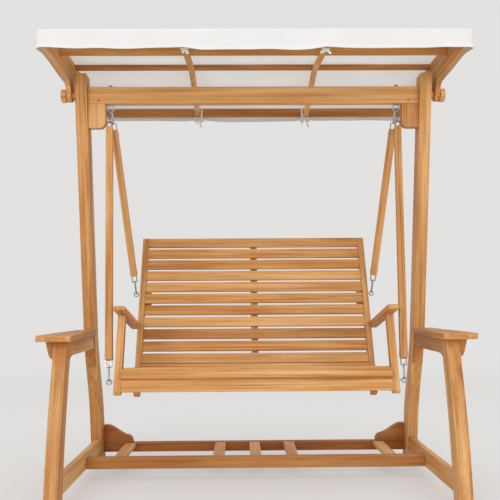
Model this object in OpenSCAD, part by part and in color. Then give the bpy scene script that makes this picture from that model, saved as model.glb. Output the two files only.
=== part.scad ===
// Free-standing garden swing bench: two leaning side frames with drink shelves,
// a top beam, a tilting cloth canopy and a slatted bench on four wooden hangers.
// Origin on the floor below the middle of the part, X across, -Y to the front, Z up.

/* [Frame] */
// Width over the two side frames
frame_width = 1674; // [1600:2:1760]
// Thickness of posts and legs across the frame
leg_width = 55; // [50:1:60]
// Front to back depth of a rear post
post_depth = 83; // [76:1:90]
// Front to back depth of a front leg
leg_depth = 80; // [74:1:86]
// Height of the post tops
post_height = 1882; // [1860:2:1920]
// Thickness of the rails between posts and legs
rail_thick = 42; // [36:1:44]
// Height of the top beam
beam_height = 79; // [72:1:84]
// Drop of the beam underside below the post tops
beam_drop = 132; // [128:1:142]

/* [Shelves] */
// Height of the shelf top above the floor
shelf_top = 679; // [660:1:700]
// Thickness of a shelf board
shelf_thick = 25; // [20:1:28]
// Width of a shelf at its front end
shelf_front_width = 144; // [130:1:156]
// Height of the rail under a shelf
apron_height = 67; // [56:1:76]

/* [Base] */
// Height of the base side rails
base_rail_height = 80; // [70:1:90]
// Gap between the base rails and the floor
base_clearance = 38; // [24:1:48]
// Height of the two cross stretchers
stretcher_height = 53; // [46:1:60]
// Width of a base slat
base_slat_width = 54; // [44:1:62]

/* [Bench] */
// Width over the two armrests
bench_width = 1218; // [1180:2:1250]
// Thickness of the arm posts
arm_post_width = 31; // [28:1:36]
// Thickness of back stiles and seat rails
stile_width = 28; // [24:1:32]
// Height of one back slat
back_slat_height = 52; // [46:1:56]
// Thickness of a back slat
back_slat_thick = 16; // [13:1:18]
// Width of one seat slat
seat_slat_width = 43; // [38:1:46]
// Thickness of a seat slat
seat_slat_thick = 16; // [13:1:18]
// Width of an armrest
armrest_width = 49; // [44:1:56]
// Thickness of an armrest
armrest_thick = 23; // [18:1:26]

/* [Hangers] */
// Side of the square hanger bars
bar_side = 31; // [30:1:33]
// Wire diameter of the snap hooks
hook_wire = 5; // [4:0.1:5.1]

/* [Canopy] */
// Length of the arched side boards, front to back
canopy_length = 1032; // [980:4:1060]
// Rise of the arch from the board ends to the crown
canopy_rise = 46; // [40:1:54]
// Backward lean of the canopy at rest
canopy_tilt = 2; // [0:0.5:3]
// Thickness of the side boards
canopy_board_thick = 24; // [20:1:25]
// Diameter of the clamp knobs
knob_diameter = 62; // [54:1:66]

/* [Hidden] */

$fn = 48;
sides = [-1, 1];

// side frame
frame_half = frame_width / 2;
frame_inner = frame_half - leg_width;
rail_inner = frame_inner + (leg_width - rail_thick) / 2;
post_foot_y = 286.5;
post_lean = 0.135;
post_sweep = 73.3;
sweep_start = 235;
sweep_length = 423;
foot_extra = 11;
foot_taper = 500;
leg_foot_y = -601.4;
leg_lean = 0.17;
leg_bow = 70.6;
leg_extra = 8;
post_steps = 32;
leg_steps = 16;
post_corner = 12;

// beam, eyebolts and canopy pivot
pivot_y = 19;
beam_thick = 43;
beam_bottom = post_height - beam_drop;
beam_top = beam_bottom + beam_height;
ring_drop = 18.6;
ring_z = beam_bottom - ring_drop;
ring_mean = 15;
ring_wire = 6.5;
eye_x = frame_inner - 104;
hook_offset = 5;
swing_z = ring_z - sqrt(ring_mean * ring_mean - hook_offset * hook_offset);
eyebolt_diameter = 10;
bolt_clearance = 0.05;
nut_height = 8;
washer_height = 2;
bracket_width = 81;
bracket_drop = 114;
bracket_thick = 38;
canopy_pivot_z = beam_bottom + 41;
pivot_bolt_diameter = 10;

// shelf
shelf_bottom = shelf_top - shelf_thick;
shelf_front_y = -489;
shelf_outer = frame_half + 59;
shelf_inner = shelf_outer - shelf_front_width;
shelf_rear_outer = frame_half + 40;
shelf_rear_inner = frame_inner - 4;
apron_bottom = shelf_bottom - apron_height;
bracket_reach = 56;
bracket_fall = 84;
knee_out = 39;
knee_fall = 78;
knee_thick = 36;

// base
base_rail_top = base_clearance + base_rail_height;
stretcher_bottom = base_clearance + 1;
stretcher_top = stretcher_bottom + stretcher_height;
base_rail_thick = 26;
rear_stretcher_bottom = base_clearance - 2;
rear_stretcher_height = stretcher_height - 5;
rear_stretcher_top = rear_stretcher_bottom + rear_stretcher_height;
front_stretcher_y = -56;
rear_stretcher_y = 337;
block_height = 92;
block_length = 150;
block_thick = 38;
base_slat_thick = 20;
base_slat_top = rear_stretcher_top - 1;
base_slat_pitch = 177;
base_slat_outer = frame_inner - 138;

// bench, drawn hanging at rest
bench_half = bench_width / 2;
arm_ledge = 5;
arm_outer = bench_half - arm_ledge;
post_face = arm_outer - arm_post_width;
stile_inner = post_face - stile_width;
arm_foot_y = -379;
arm_foot_z = 420;
arm_slope = 0.40;
arm_depth = 46;
arm_corner = 20;
seat_y = -127;
seat_z = 931;
seat_radius = 440;
seat_first = -23;
seat_step = 7.3;
seat_count = 6;
seat_fit = 0.02;
rail_depth = 40;
nose_y = -352;
nose_z = 509.4;
nose_angle = 55;
nose_width = 44;
nose_thick = 15;
front_rail_y = -375;
front_rail_z = 434;
front_rail_height = 52;
front_rail_thick = 21;
stile_foot_y = -32;
stile_foot_z = 382;
back_angle = 25.96;
stile_length = 853;
stile_depth = 47;
slat_start = 157;
slat_pitch = 64.3;
slat_count = 11;
slat_set = 6;
rear_slat_start = 124;
rear_slat_height = 31;
rear_slat_thick = 24;
armrest_front_y = -333;
armrest_front_z = 799;
armrest_angle = 11;
armrest_length = 508;

// hangers
front_ring_y = -329;
front_ring_z = 474;
rear_ring_y = 223;
rear_ring_z = 852;
bench_ring_mean = 10;
bench_ring_wire = 6;
ring_stand = 20;
hook_radius = 11;
hook_straight = 44;
hook_top = 6.6;
wire_r = hook_wire / 2;
hook_z1 = hook_top - hook_radius;
hook_z2 = hook_z1 - hook_straight;
bridge_top = hook_z2 - hook_radius + wire_r + 3.3;
strap_thick = 3;
strap_width = 14;
strap_half = 13;
strap_seat = 0.3;
bar_end = 84;
strap_leg = 44;
strap_bolt = 22;
slot_gap = 0.3;
slot_length = strap_leg + 2;
bolt_head = 3;
gate_low = hook_z2 + 6;
gate_high = hook_z1 - 3;

// canopy
board_half = canopy_length / 2;
canopy_y = pivot_y + 60;
board_bottom = canopy_pivot_z + 49;
board_end = canopy_pivot_z + 125;
crown = board_end + canopy_rise;
arch_radius = (board_half * board_half + canopy_rise * canopy_rise) / (2 * canopy_rise);
canopy_inner = frame_half + 21;
canopy_outer = canopy_inner + canopy_board_thick;
ear_radius = 29;
cover_thick = 2.5;
cover_gap = 0.4;
cover_side = 17;
hem_z = canopy_pivot_z + 46;
rear_hem_lift = 9;
rail_fall = 77.8;
rail_bend = 1.22;
rail_low = canopy_pivot_z + 147;
inner_rail_at = 287;
edge_rail_at = board_half - 14;
edge_rail_drop = 13;
canopy_rail_thick = 24;
batten_x = 297;
batten_width = 28;
batten_thick = 9;
knob_gap = 2.6;
knob_thick = 25;
knob_grooves = 12;

function smooth(t) = t <= 0 ? 0 : t >= 1 ? 1 : t * t * (3 - 2 * t);
function post_front(z) =
    post_foot_y - post_lean * z - post_sweep * smooth((z - sweep_start) / sweep_length);
function post_rear(z) =
    post_front(z) + post_depth + foot_extra * (1 - smooth(z / foot_taper));
function leg_front(z) = leg_foot_y + leg_lean * z + leg_bow * pow(z / shelf_bottom, 2);
function leg_rear(z) = leg_front(z) + leg_depth + leg_extra * (1 - z / shelf_bottom);
function arm_front(z) = arm_foot_y + arm_slope * (z - arm_foot_z);
function on_stile(s, d) = [
    stile_foot_y + s * sin(back_angle) + d * cos(back_angle),
    stile_foot_z + s * cos(back_angle) - d * sin(back_angle)];
function on_seat(a, r) = [seat_y + r * sin(a), seat_z - r * cos(a)];
function rail_bottom(d) = rail_low - rail_fall * pow(abs(d) / edge_rail_at, rail_bend);
function knee_shape(t) =
    0.41 * sqrt(1 - pow(1 - min(1, t / 0.18), 2)) + 0.59 * smooth((t - 0.12) / 0.8);
function shelf_knee_shape(t) =
    0.58 * sqrt(1 - pow(1 - min(1, t / 0.35), 2)) + 0.42 * max(0, (t - 0.2) / 0.8);
function arch_z(d) = crown - arch_radius + sqrt(arch_radius * arch_radius - d * d);

// a side profile drawn in Y and Z, run across in X from x0 to x0 + w
module across(x0, w) {
    translate([x0, 0, 0])
    rotate([90, 0, 90])
    linear_extrude(w)
    children();
}

// the same profile on both sides, between the half widths x0 and x1
module both_sides(x0, x1) {
    for (s = sides) {
        across(s > 0 ? x0 : -x1, x1 - x0) {
            children();
        }
    }
}

// a front view profile drawn in X and Z, run back in Y from y0
module backwards(y0, w) {
    translate([0, y0 + w, 0])
    rotate([90, 0, 0])
    linear_extrude(w)
    children();
}

module post_profile() {
    polygon(concat(
        [for (i = [0 : post_steps]) let (z = post_height * i / post_steps) [post_front(z), z]],
        [for (i = [post_steps : -1 : 0]) let (z = post_height * i / post_steps) [post_rear(z), z]]));
}

module leg_profile() {
    polygon(concat(
        [for (i = [0 : leg_steps]) let (z = shelf_bottom * i / leg_steps) [leg_front(z), z]],
        [for (i = [leg_steps : -1 : 0]) let (z = shelf_bottom * i / leg_steps) [leg_rear(z), z]]));
}

module post_solids() {
    both_sides(frame_inner, frame_half) {
        post_profile();
    }
}

module leg_solids() {
    both_sides(frame_inner, frame_half) {
        leg_profile();
    }
}

module rear_posts() {
    color("peru")
    difference() {
        post_solids();
        for (s = sides) {
            translate([s * frame_inner, 0, post_height])
            rotate([90, 45, 0])
            cube([post_corner, post_corner, 4 * post_depth], center = true);
            translate([s * (frame_half - 45), pivot_y, canopy_pivot_z])
            rotate([0, s * 90, 0])
            cylinder(h = 60, d = pivot_bolt_diameter + 2 * bolt_clearance);
        }
    }
}

module front_legs() {
    color("peru")
    leg_solids();
}

module shelf_plan(s) {
    rear_y = post_front(shelf_top) + 22;
    span = rear_y - shelf_front_y;
    outer = [for (i = [0 : 12]) let (t = i / 12)
        [shelf_outer - (shelf_outer - shelf_rear_outer) * smooth((t - 0.25) / 0.5),
            shelf_front_y + span * t]];
    inner = [for (i = [12 : -1 : 0]) let (t = i / 12)
        [shelf_inner + (shelf_rear_inner - shelf_inner) * smooth((t - 0.2) / 0.6),
            shelf_front_y + span * t]];
    mirror([s < 0 ? 1 : 0, 0])
    polygon(concat(outer, inner));
}

module shelf_boards() {
    color("peru")
    difference() {
        for (s = sides) {
            translate([0, 0, shelf_bottom])
            linear_extrude(shelf_thick)
            shelf_plan(s);
        }
        post_solids();
    }
}

module apron_rails() {
    color("sienna")
    difference() {
        both_sides(rail_inner, rail_inner + rail_thick) {
            polygon([
                [leg_front(shelf_bottom) + 20, apron_bottom],
                [leg_front(shelf_bottom) + 20, shelf_bottom],
                [post_rear(shelf_bottom) - 20, shelf_bottom],
                [post_rear(shelf_bottom) - 20, apron_bottom]]);
        }
        leg_solids();
        post_solids();
    }
}

// quarter arch corner pieces under the apron rail
module apron_brackets() {
    front_y = leg_rear(apron_bottom - bracket_fall);
    rear_y = post_front(apron_bottom);
    color("sienna")
    difference() {
        both_sides(rail_inner, rail_inner + rail_thick) {
            polygon(concat(
                [[front_y - 30, apron_bottom], [front_y - 30, apron_bottom - bracket_fall]],
                [for (i = [0 : 10]) let (a = 90 * i / 10)
                    [front_y + 8 + (bracket_reach + 30) * (1 - cos(a)),
                        apron_bottom - bracket_fall + bracket_fall * sin(a)]]));
            polygon(concat(
                [[rear_y + 60, apron_bottom], [rear_y + 60, apron_bottom - bracket_fall]],
                [for (i = [0 : 10]) let (a = 90 * i / 10)
                    [rear_y + 12 - (bracket_reach - 6) * (1 - cos(a)),
                        apron_bottom - bracket_fall + bracket_fall * sin(a)]]));
        }
        leg_solids();
        post_solids();
    }
}

// curved knees outside the legs, under the wide front of the shelves
module shelf_knees() {
    mid_y = leg_front(shelf_bottom) + leg_depth / 2 - 9;
    color("sienna")
    for (s = sides) {
        backwards(mid_y - knee_thick / 2, knee_thick)
        mirror([s < 0 ? 1 : 0, 0])
        polygon(concat(
            [[frame_half, shelf_bottom], [frame_half, shelf_bottom - knee_fall]],
            [for (i = [0 : 12]) let (t = i / 12)
                [frame_half + 8 + (knee_out - 8) * shelf_knee_shape(t),
                    shelf_bottom - knee_fall * (1 - t)]]));
    }
}

module base_side_rails() {
    color("sienna")
    difference() {
        both_sides(rail_inner, rail_inner + base_rail_thick) {
            polygon([
                [leg_front(base_clearance) + 30, base_clearance],
                [leg_front(base_clearance) + 30, base_rail_top],
                [post_front(base_clearance) + 30, base_rail_top],
                [post_front(base_clearance) + 30, base_clearance]]);
        }
        leg_solids();
        post_solids();
    }
}

module cross_bar(half, y0, z0, thick, height) {
    translate([-half, y0, z0])
    cube([2 * half, thick, height]);
}

module front_stretcher() {
    color("sienna")
    cross_bar(rail_inner, front_stretcher_y, stretcher_bottom, rail_thick, stretcher_height);
}

module rear_stretcher() {
    color("sienna")
    cross_bar(frame_inner, rear_stretcher_y, rear_stretcher_bottom, rail_thick,
        rear_stretcher_height);
}

// ogee knee blocks on the rear stretcher against the posts
module stretcher_knees() {
    color("sienna")
    for (s = sides) {
        backwards(rear_stretcher_y + 2, block_thick)
        mirror([s < 0 ? 1 : 0, 0])
        polygon(concat(
            [[frame_inner, rear_stretcher_top]],
            [for (i = [0 : 24]) let (t = pow(i / 24, 1.6))
                [frame_inner - block_length * (1 - t),
                    rear_stretcher_top + block_height * knee_shape(t)]]));
    }
}

module base_slats() {
    slat_y = front_stretcher_y + rail_thick;
    color("peru")
    for (x = [-base_slat_outer, -base_slat_pitch, 0, base_slat_pitch, base_slat_outer]) {
        translate([x - base_slat_width / 2, slat_y, base_slat_top - base_slat_thick])
        cube([base_slat_width, rear_stretcher_y - slat_y, base_slat_thick]);
    }
}

module top_beam() {
    color("peru")
    difference() {
        cross_bar(frame_inner, pivot_y - beam_thick / 2, beam_bottom, beam_thick, beam_height);
        for (s = sides) {
            translate([s * eye_x, pivot_y, beam_bottom - 5])
            cylinder(h = beam_height + 10, d = eyebolt_diameter + 2 * bolt_clearance);
        }
    }
}

module beam_brackets() {
    turn = 27;
    color("peru")
    for (s = sides) {
        backwards(pivot_y - bracket_thick / 2, bracket_thick)
        mirror([s < 0 ? 1 : 0, 0])
        polygon(concat(
            [[frame_inner, beam_bottom], [frame_inner - bracket_width, beam_bottom]],
            [for (i = [0 : 8]) let (a = 90 * i / 8)
                [frame_inner - bracket_width + turn * (1 - cos(a)),
                    beam_bottom - bracket_drop + turn * (1 - sin(a)) ]],
            [[frame_inner, beam_bottom - bracket_drop]]));
    }
}

module ring_of(mean, wire) {
    rotate_extrude()
    translate([mean, 0])
    circle(d = wire, $fn = 20);
}

module eyebolts() {
    color("silver")
    for (s = sides) {
        translate([s * eye_x, pivot_y, ring_z]) {
            rotate([90, 0, 0])
            ring_of(ring_mean, ring_wire);
            translate([0, 0, ring_mean - 1])
            cylinder(h = beam_top + 13 - ring_z - ring_mean + 1, d = eyebolt_diameter);
        }
    }
}

module eyebolt_nuts() {
    color("silver")
    for (s = sides) {
        translate([s * eye_x, pivot_y, beam_top])
        difference() {
            union() {
                cylinder(h = washer_height, d = 24);
                translate([0, 0, washer_height])
                cylinder(h = nut_height, d = 18, $fn = 6);
            }
            translate([0, 0, -1])
            cylinder(h = 20, d = eyebolt_diameter + 2 * bolt_clearance);
        }
    }
}

knob_from = canopy_outer + knob_gap;

module pivot_bolts() {
    color("silver")
    for (s = sides) {
        translate([s * (frame_half - 40), pivot_y, canopy_pivot_z])
        rotate([0, s * 90, 0])
        cylinder(h = knob_from + knob_thick - 6 - frame_half + 40, d = pivot_bolt_diameter);
    }
}

module pivot_spacers() {
    color("sienna")
    for (s = sides) {
        translate([s * frame_half, pivot_y, canopy_pivot_z])
        rotate([0, s * 90, 0])
        difference() {
            cylinder(h = canopy_inner - frame_half - 0.3, d = 44);
            translate([0, 0, -1])
            cylinder(h = 40, d = pivot_bolt_diameter + 2 * bolt_clearance);
        }
    }
}

// everything of the canopy is drawn level and leans back about its pivot
module canopy_lean() {
    translate([0, pivot_y, canopy_pivot_z])
    rotate([-canopy_tilt, 0, 0])
    translate([0, -pivot_y, -canopy_pivot_z])
    children();
}

module board_profile() {
    steps = 24;
    polygon(concat(
        [for (i = [0 : steps]) let (d = -board_half + canopy_length * i / steps)
            [canopy_y + d, arch_z(d)]],
        [[canopy_y + board_half, board_bottom]],
        [[pivot_y + 78, board_bottom], [pivot_y + 44, board_bottom - 14]],
        [for (i = [0 : 12]) let (a = -180 * i / 12)
            [pivot_y + ear_radius * cos(a), canopy_pivot_z + ear_radius * sin(a)]],
        [[pivot_y - 44, board_bottom - 14], [pivot_y - 78, board_bottom]],
        [[canopy_y - board_half, board_bottom]]));
}

module canopy_side_boards() {
    color("peru")
    canopy_lean()
    difference() {
        both_sides(canopy_inner, canopy_outer) {
            board_profile();
        }
        for (s = sides) {
            translate([s * (canopy_inner - 5), pivot_y, canopy_pivot_z])
            rotate([0, s * 90, 0])
            cylinder(h = 50, d = pivot_bolt_diameter + 2 * bolt_clearance);
        }
    }
}

module canopy_rail(d) {
    low = rail_bottom(d);
    under = min(arch_z(d - canopy_rail_thick / 2), arch_z(d + canopy_rail_thick / 2));
    high = under - (abs(d) > inner_rail_at ? edge_rail_drop : 1);
    translate([-canopy_inner, canopy_y + d - canopy_rail_thick / 2, low])
    cube([2 * canopy_inner, canopy_rail_thick, high - low]);
}

module canopy_rails() {
    color("sienna")
    canopy_lean()
    for (d = [-edge_rail_at, -inner_rail_at, 0, inner_rail_at, edge_rail_at]) {
        canopy_rail(d);
    }
}

// thin laths bent under the cross rails
module canopy_battens() {
    steps = 24;
    reach = board_half - 2;
    color("sienna")
    canopy_lean()
    for (s = sides) {
        across(s * batten_x - batten_width / 2, batten_width)
        polygon(concat(
            [for (i = [0 : steps]) let (d = -reach + 2 * reach * i / steps)
                [canopy_y + d, lath_z(d)]],
            [for (i = [steps : -1 : 0]) let (d = -reach + 2 * reach * i / steps)
                [canopy_y + d, lath_z(d) - batten_thick]]));
    }
}

// lath top: just below the lower edges of a rail on both of its faces
function lath_z(d) = rail_bottom(abs(d) + canopy_rail_thick / 2) - 0.3;

module cover_profile(grow, low) {
    steps = 24;
    reach = board_half + grow;
    polygon(concat(
        [for (i = [0 : steps]) let (d = -reach + 2 * reach * i / steps)
            [canopy_y + d, arch_z(max(-board_half, min(board_half, d))) + grow]],
        [[canopy_y + reach, low + rear_hem_lift], [canopy_y - reach, low]]));
}

// cloth cover: closed arched sheet with a hanging valance on all four sides
module canopy_cover() {
    inner = cover_gap;
    outer = cover_gap + cover_thick;
    color("white")
    canopy_lean()
    difference() {
        across(-canopy_outer - cover_side, 2 * (canopy_outer + cover_side))
        cover_profile(outer, hem_z);
        across(-canopy_outer - cover_side + cover_thick,
            2 * (canopy_outer + cover_side - cover_thick))
        cover_profile(inner, hem_z - 10);
    }
}

// tapes tied around the lath ends under the edge rails
module tie_tapes() {
    low = lath_z(edge_rail_at) - batten_thick;
    high = rail_bottom(edge_rail_at) + 30;
    gap = 0.4;
    tape = 1.6;
    half_x = batten_width / 2 + gap;
    color("white")
    canopy_lean()
    for (s = sides) {
        for (e = sides) {
            translate([s * batten_x, canopy_y + e * (edge_rail_at - 22), low - gap - tape]) {
                translate([-half_x - tape, -9, 0])
                cube([2 * half_x + 2 * tape, 18, tape]);
                for (k = sides) {
                    translate([k * (half_x + tape / 2) - tape / 2, -9, 0])
                    cube([tape, 18, 24]);
                }
                translate([-7, -6, -22])
                cube([14, 12, 22]);
            }
        }
    }
}

module clamp_knob(s) {
    color("peru")
    translate([s * knob_from, pivot_y, canopy_pivot_z])
    rotate([0, s * 90, 0])
    difference() {
        union() {
            cylinder(h = knob_thick - 5, d = knob_diameter);
            translate([0, 0, knob_thick - 5])
            cylinder(h = 5, d1 = knob_diameter, d2 = knob_diameter - 10);
        }
        translate([0, 0, -1])
        cylinder(h = knob_thick - 3, d = pivot_bolt_diameter + 2 * bolt_clearance);
        for (i = [0 : knob_grooves - 1]) {
            rotate([0, 0, 360 * i / knob_grooves])
            translate([knob_diameter / 2 + 2.5, 0, -1])
            cylinder(h = knob_thick + 2, d = 8, $fn = 20);
        }
    }
}

module clamp_knob_left() {
    clamp_knob(-1);
}

module clamp_knob_right() {
    clamp_knob(1);
}

armrest_under = armrest_front_z - armrest_thick;

module armrest_profile() {
    translate([armrest_front_y, armrest_front_z])
    rotate(-armrest_angle)
    polygon([[8, 0], [2, -3], [0, -armrest_thick / 2], [3, -armrest_thick + 2],
        [8, -armrest_thick], [armrest_length, -armrest_thick], [armrest_length, 0]]);
}

// a half plane below the armrest underside, to trim the arm post top
module below_armrest() {
    translate([armrest_front_y, armrest_front_z])
    rotate(-armrest_angle)
    translate([-300, -armrest_thick - 1000])
    square([1000, 1000]);
}

module arm_post_profile() {
    top = armrest_front_z + 20;
    intersection() {
        polygon(concat(
            [for (i = [0 : 6]) let (a = 15 * i)
                [arm_front(arm_foot_z + arm_corner) + 0.6 * arm_corner * (1 - cos(a)),
                    arm_foot_z + arm_corner * (1 - sin(a))]],
            [[arm_front(arm_foot_z) + arm_depth - 6, arm_foot_z],
                [arm_front(arm_foot_z + 10) + arm_depth, arm_foot_z + 10],
                [arm_front(top) + arm_depth, top], [arm_front(top), top]]));
        below_armrest();
    }
}

module arm_posts() {
    color("peru")
    both_sides(post_face, arm_outer) {
        arm_post_profile();
    }
}

module stile_profile() {
    polygon([on_stile(0, 0), on_stile(stile_length - 10, 0), on_stile(stile_length, 8),
        on_stile(stile_length, stile_depth - 8), on_stile(stile_length - 10, stile_depth),
        on_stile(12, stile_depth), on_stile(0, stile_depth - 10)]);
}

module stile_solids() {
    both_sides(stile_inner, post_face) {
        stile_profile();
    }
}

module back_stiles() {
    color("peru")
    stile_solids();
}

module armrests() {
    color("peru")
    difference() {
        both_sides(bench_half - armrest_width, bench_half) {
            armrest_profile();
        }
        stile_solids();
    }
}

module plank(p, angle, thick, width, half) {
    across(-half, 2 * half)
    translate(p)
    rotate(angle)
    square([width, thick]);
}

module back_slats() {
    color("peru")
    for (i = [0 : slat_count - 1]) {
        plank(on_stile(slat_start + i * slat_pitch, slat_set + back_slat_thick),
            90 - back_angle, back_slat_thick, back_slat_height, stile_inner);
    }
}

module centre_batten() {
    back = slat_set + back_slat_thick + seat_fit;
    color("sienna")
    across(-17, 34)
    polygon([on_stile(rear_slat_start + rear_slat_height + 2, back),
        on_stile(stile_length - 14, back), on_stile(stile_length - 14, back + 18),
        on_stile(rear_slat_start + rear_slat_height + 2, back + 18)]);
}

module front_rail_profile() {
    translate([front_rail_y, front_rail_z])
    polygon([[0, 0], [front_rail_thick, 0],
        [front_rail_thick + arm_slope * front_rail_height, front_rail_height],
        [arm_slope * front_rail_height, front_rail_height]]);
}

module front_rail() {
    color("peru")
    across(-post_face, 2 * post_face)
    front_rail_profile();
}

// rounded front slat above the front rail
module nose_slat() {
    r = nose_thick / 2;
    color("peru")
    across(-post_face, 2 * post_face)
    translate([nose_y, nose_z])
    rotate(nose_angle)
    polygon(concat(
        [[-nose_width / 2, -r]],
        [for (i = [0 : 6]) let (a = -90 + 30 * i) [nose_width / 2 - r + r * cos(a), r * sin(a)]],
        [[-nose_width / 2, r]]));
}

module rail_profile() {
    steps = 16;
    first = -27;
    last = 22;
    inner = seat_radius + seat_slat_thick;
    outer = inner + rail_depth;
    top = inner - 0.8;
    start = [nose_y + nose_thick / 2 * sin(nose_angle), nose_z - nose_thick / 2 * cos(nose_angle)];
    difference() {
        polygon(concat(
            [start + 20 * [cos(nose_angle), sin(nose_angle)],
                start - 20 * [cos(nose_angle), sin(nose_angle)]],
            [[start[0] - 4, front_rail_z + 20]],
            [for (i = [2 : steps]) let (a = first + (last - first) * i / steps)
                on_seat(a, outer)],
            [for (i = [steps : -1 : 0]) let (a = first + (last - first) * i / steps)
                on_seat(a, top)]));
        for (i = [0 : seat_count - 1]) {
            translate(on_seat(seat_first + i * seat_step, inner + seat_fit))
            rotate(seat_first + i * seat_step)
            translate([-seat_slat_width / 2 - 0.3, 0])
            square([seat_slat_width + 0.6, seat_slat_thick]);
        }
        front_rail_profile();
        stile_profile();
        translate(on_stile(-40, 0))
        rotate(90 - back_angle)
        translate([0, -200])
        square([400, 200]);
    }
}

// two side bearers and one centre bearer under the seat slats
module seat_rails() {
    color("sienna") {
        both_sides(stile_inner, post_face) {
            rail_profile();
        }
        across(-stile_width / 2, stile_width)
        rail_profile();
    }
}

module seat_slats() {
    color("peru")
    for (i = [0 : seat_count - 1]) {
        across(-post_face + 1, 2 * post_face - 2)
        translate(on_seat(seat_first + i * seat_step, seat_radius + seat_slat_thick))
        rotate(seat_first + i * seat_step)
        translate([-seat_slat_width / 2, 0])
        square([seat_slat_width, seat_slat_thick]);
    }
}

module rear_seat_slat() {
    color("peru")
    plank(on_stile(rear_slat_start, slat_set + rear_slat_thick), 90 - back_angle,
        rear_slat_thick, rear_slat_height, stile_inner);
}

// blocks behind the slats that take the bolts of the rear eyes
module eye_blocks() {
    s0 = (rear_ring_z - stile_foot_z) / cos(back_angle) - 62;
    back = slat_set + back_slat_thick + seat_fit;
    color("sienna")
    for (s = sides) {
        across(s > 0 ? stile_inner - 30 : -stile_inner, 30)
        polygon([on_stile(s0, back), on_stile(s0 + 84, back), on_stile(s0 + 84, back + 22),
            on_stile(s0, back + 22)]);
    }
}

module bench_eye(x0, ring_x, y, z) {
    translate([ring_x, y, z])
    rotate([90, 0, 0])
    ring_of(bench_ring_mean, bench_ring_wire);
    translate([x0, y, z])
    rotate([0, 90, 0])
    cylinder(h = ring_x - x0 - bench_ring_mean, d = bench_ring_wire - 1);
    translate([x0, y, z])
    rotate([0, 90, 0])
    cylinder(h = 2, d = 16);
}

module bench_eyes() {
    color("silver")
    for (s = sides) {
        mirror([s < 0 ? 1 : 0, 0, 0]) {
            bench_eye(arm_outer, bench_half + ring_stand, front_ring_y, front_ring_z);
            bench_eye(post_face, post_face + ring_stand, rear_ring_y, rear_ring_z);
        }
    }
}

// hanger frames: local -Z runs from the top ring wire to the bench ring wire
front_top = [eye_x + hook_offset, pivot_y, swing_z];
rear_top = [eye_x - hook_offset, pivot_y, swing_z];
front_end = [bench_half + ring_stand, front_ring_y, front_ring_z + bench_ring_mean];
rear_end = [post_face + ring_stand, rear_ring_y, rear_ring_z + bench_ring_mean];
front_length = norm(front_end - front_top);
rear_length = norm(rear_end - rear_top);

module hang(top, end) {
    d = (end - top) / norm(end - top);
    translate(top)
    rotate([atan2(d[1], -d[2]), 0, 0])
    rotate([0, -asin(d[0]), 0])
    children();
}

// one mirrored pair of front hangers and one of rear hangers
module front_pair() {
    for (s = sides) {
        mirror([s < 0 ? 1 : 0, 0, 0])
        hang(front_top, front_end)
        children();
    }
}

module rear_pair() {
    for (s = sides) {
        mirror([s < 0 ? 1 : 0, 0, 0])
        hang(rear_top, rear_end)
        children();
    }
}

module low_end(length) {
    translate([0, 0, -length])
    rotate([180, 0, 0])
    children();
}

module bar(length) {
    h = length - 2 * bar_end;
    translate([0, 0, -length / 2])
    difference() {
        cube([bar_side, bar_side, h], center = true);
        for (e = sides) {
            for (k = sides) {
                translate([k * (strap_half - strap_thick / 2), 0,
                    e * (h / 2 - slot_length / 2 + 5)])
                cube([strap_thick + 2 * slot_gap, strap_width + 2 * slot_gap, slot_length + 10],
                    center = true);
            }
            translate([0, 0, e * (h / 2 - strap_bolt)])
            rotate([0, 90, 0])
            cylinder(h = 60, d = 6 + 2 * bolt_clearance, center = true);
        }
    }
}

module front_bars() {
    color("peru")
    front_pair()
    bar(front_length);
}

module rear_bars() {
    color("peru")
    rear_pair()
    bar(rear_length);
}

// U strap let into the bar end, its bridge notched where the snap hook hangs in it
module fork_strap() {
    low = -bar_end - strap_leg;
    difference() {
        translate([-strap_half, -strap_width / 2, low])
        cube([2 * strap_half, strap_width, bridge_top - low]);
        translate([-strap_half + strap_thick, -strap_width, low - 10])
        cube([2 * (strap_half - strap_thick), 2 * strap_width,
            bridge_top - strap_thick - low + 10]);
        translate([0, 0, -bar_end - strap_bolt])
        rotate([0, 90, 0])
        cylinder(h = 60, d = 6 + 2 * bolt_clearance, center = true);
        half_ring(hook_z2, -90, hook_wire + 2 * strap_seat);
    }
}

module fork_straps() {
    color("silver") {
        front_pair() {
            fork_strap();
            low_end(front_length)
            fork_strap();
        }
        rear_pair() {
            fork_strap();
            low_end(rear_length)
            fork_strap();
        }
    }
}

module fork_bolt() {
    translate([0, 0, -bar_end - strap_bolt])
    rotate([0, 90, 0]) {
        cylinder(h = bar_side + bolt_head, d = 6, center = true);
        for (k = sides) {
            translate([0, 0, k * (bar_side / 2 + bolt_head / 2 + 0.02)])
            cylinder(h = bolt_head, d = 11, center = true);
        }
    }
}

module fork_bolts() {
    color("silver") {
        front_pair() {
            fork_bolt();
            low_end(front_length)
            fork_bolt();
        }
        rear_pair() {
            fork_bolt();
            low_end(rear_length)
            fork_bolt();
        }
    }
}

module half_ring(z, turn, wire) {
    translate([0, 0, z])
    rotate([0, 90, 0])
    rotate([0, 0, turn])
    rotate_extrude(angle = 180)
    translate([hook_radius, 0])
    circle(d = wire, $fn = 20);
}

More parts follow.
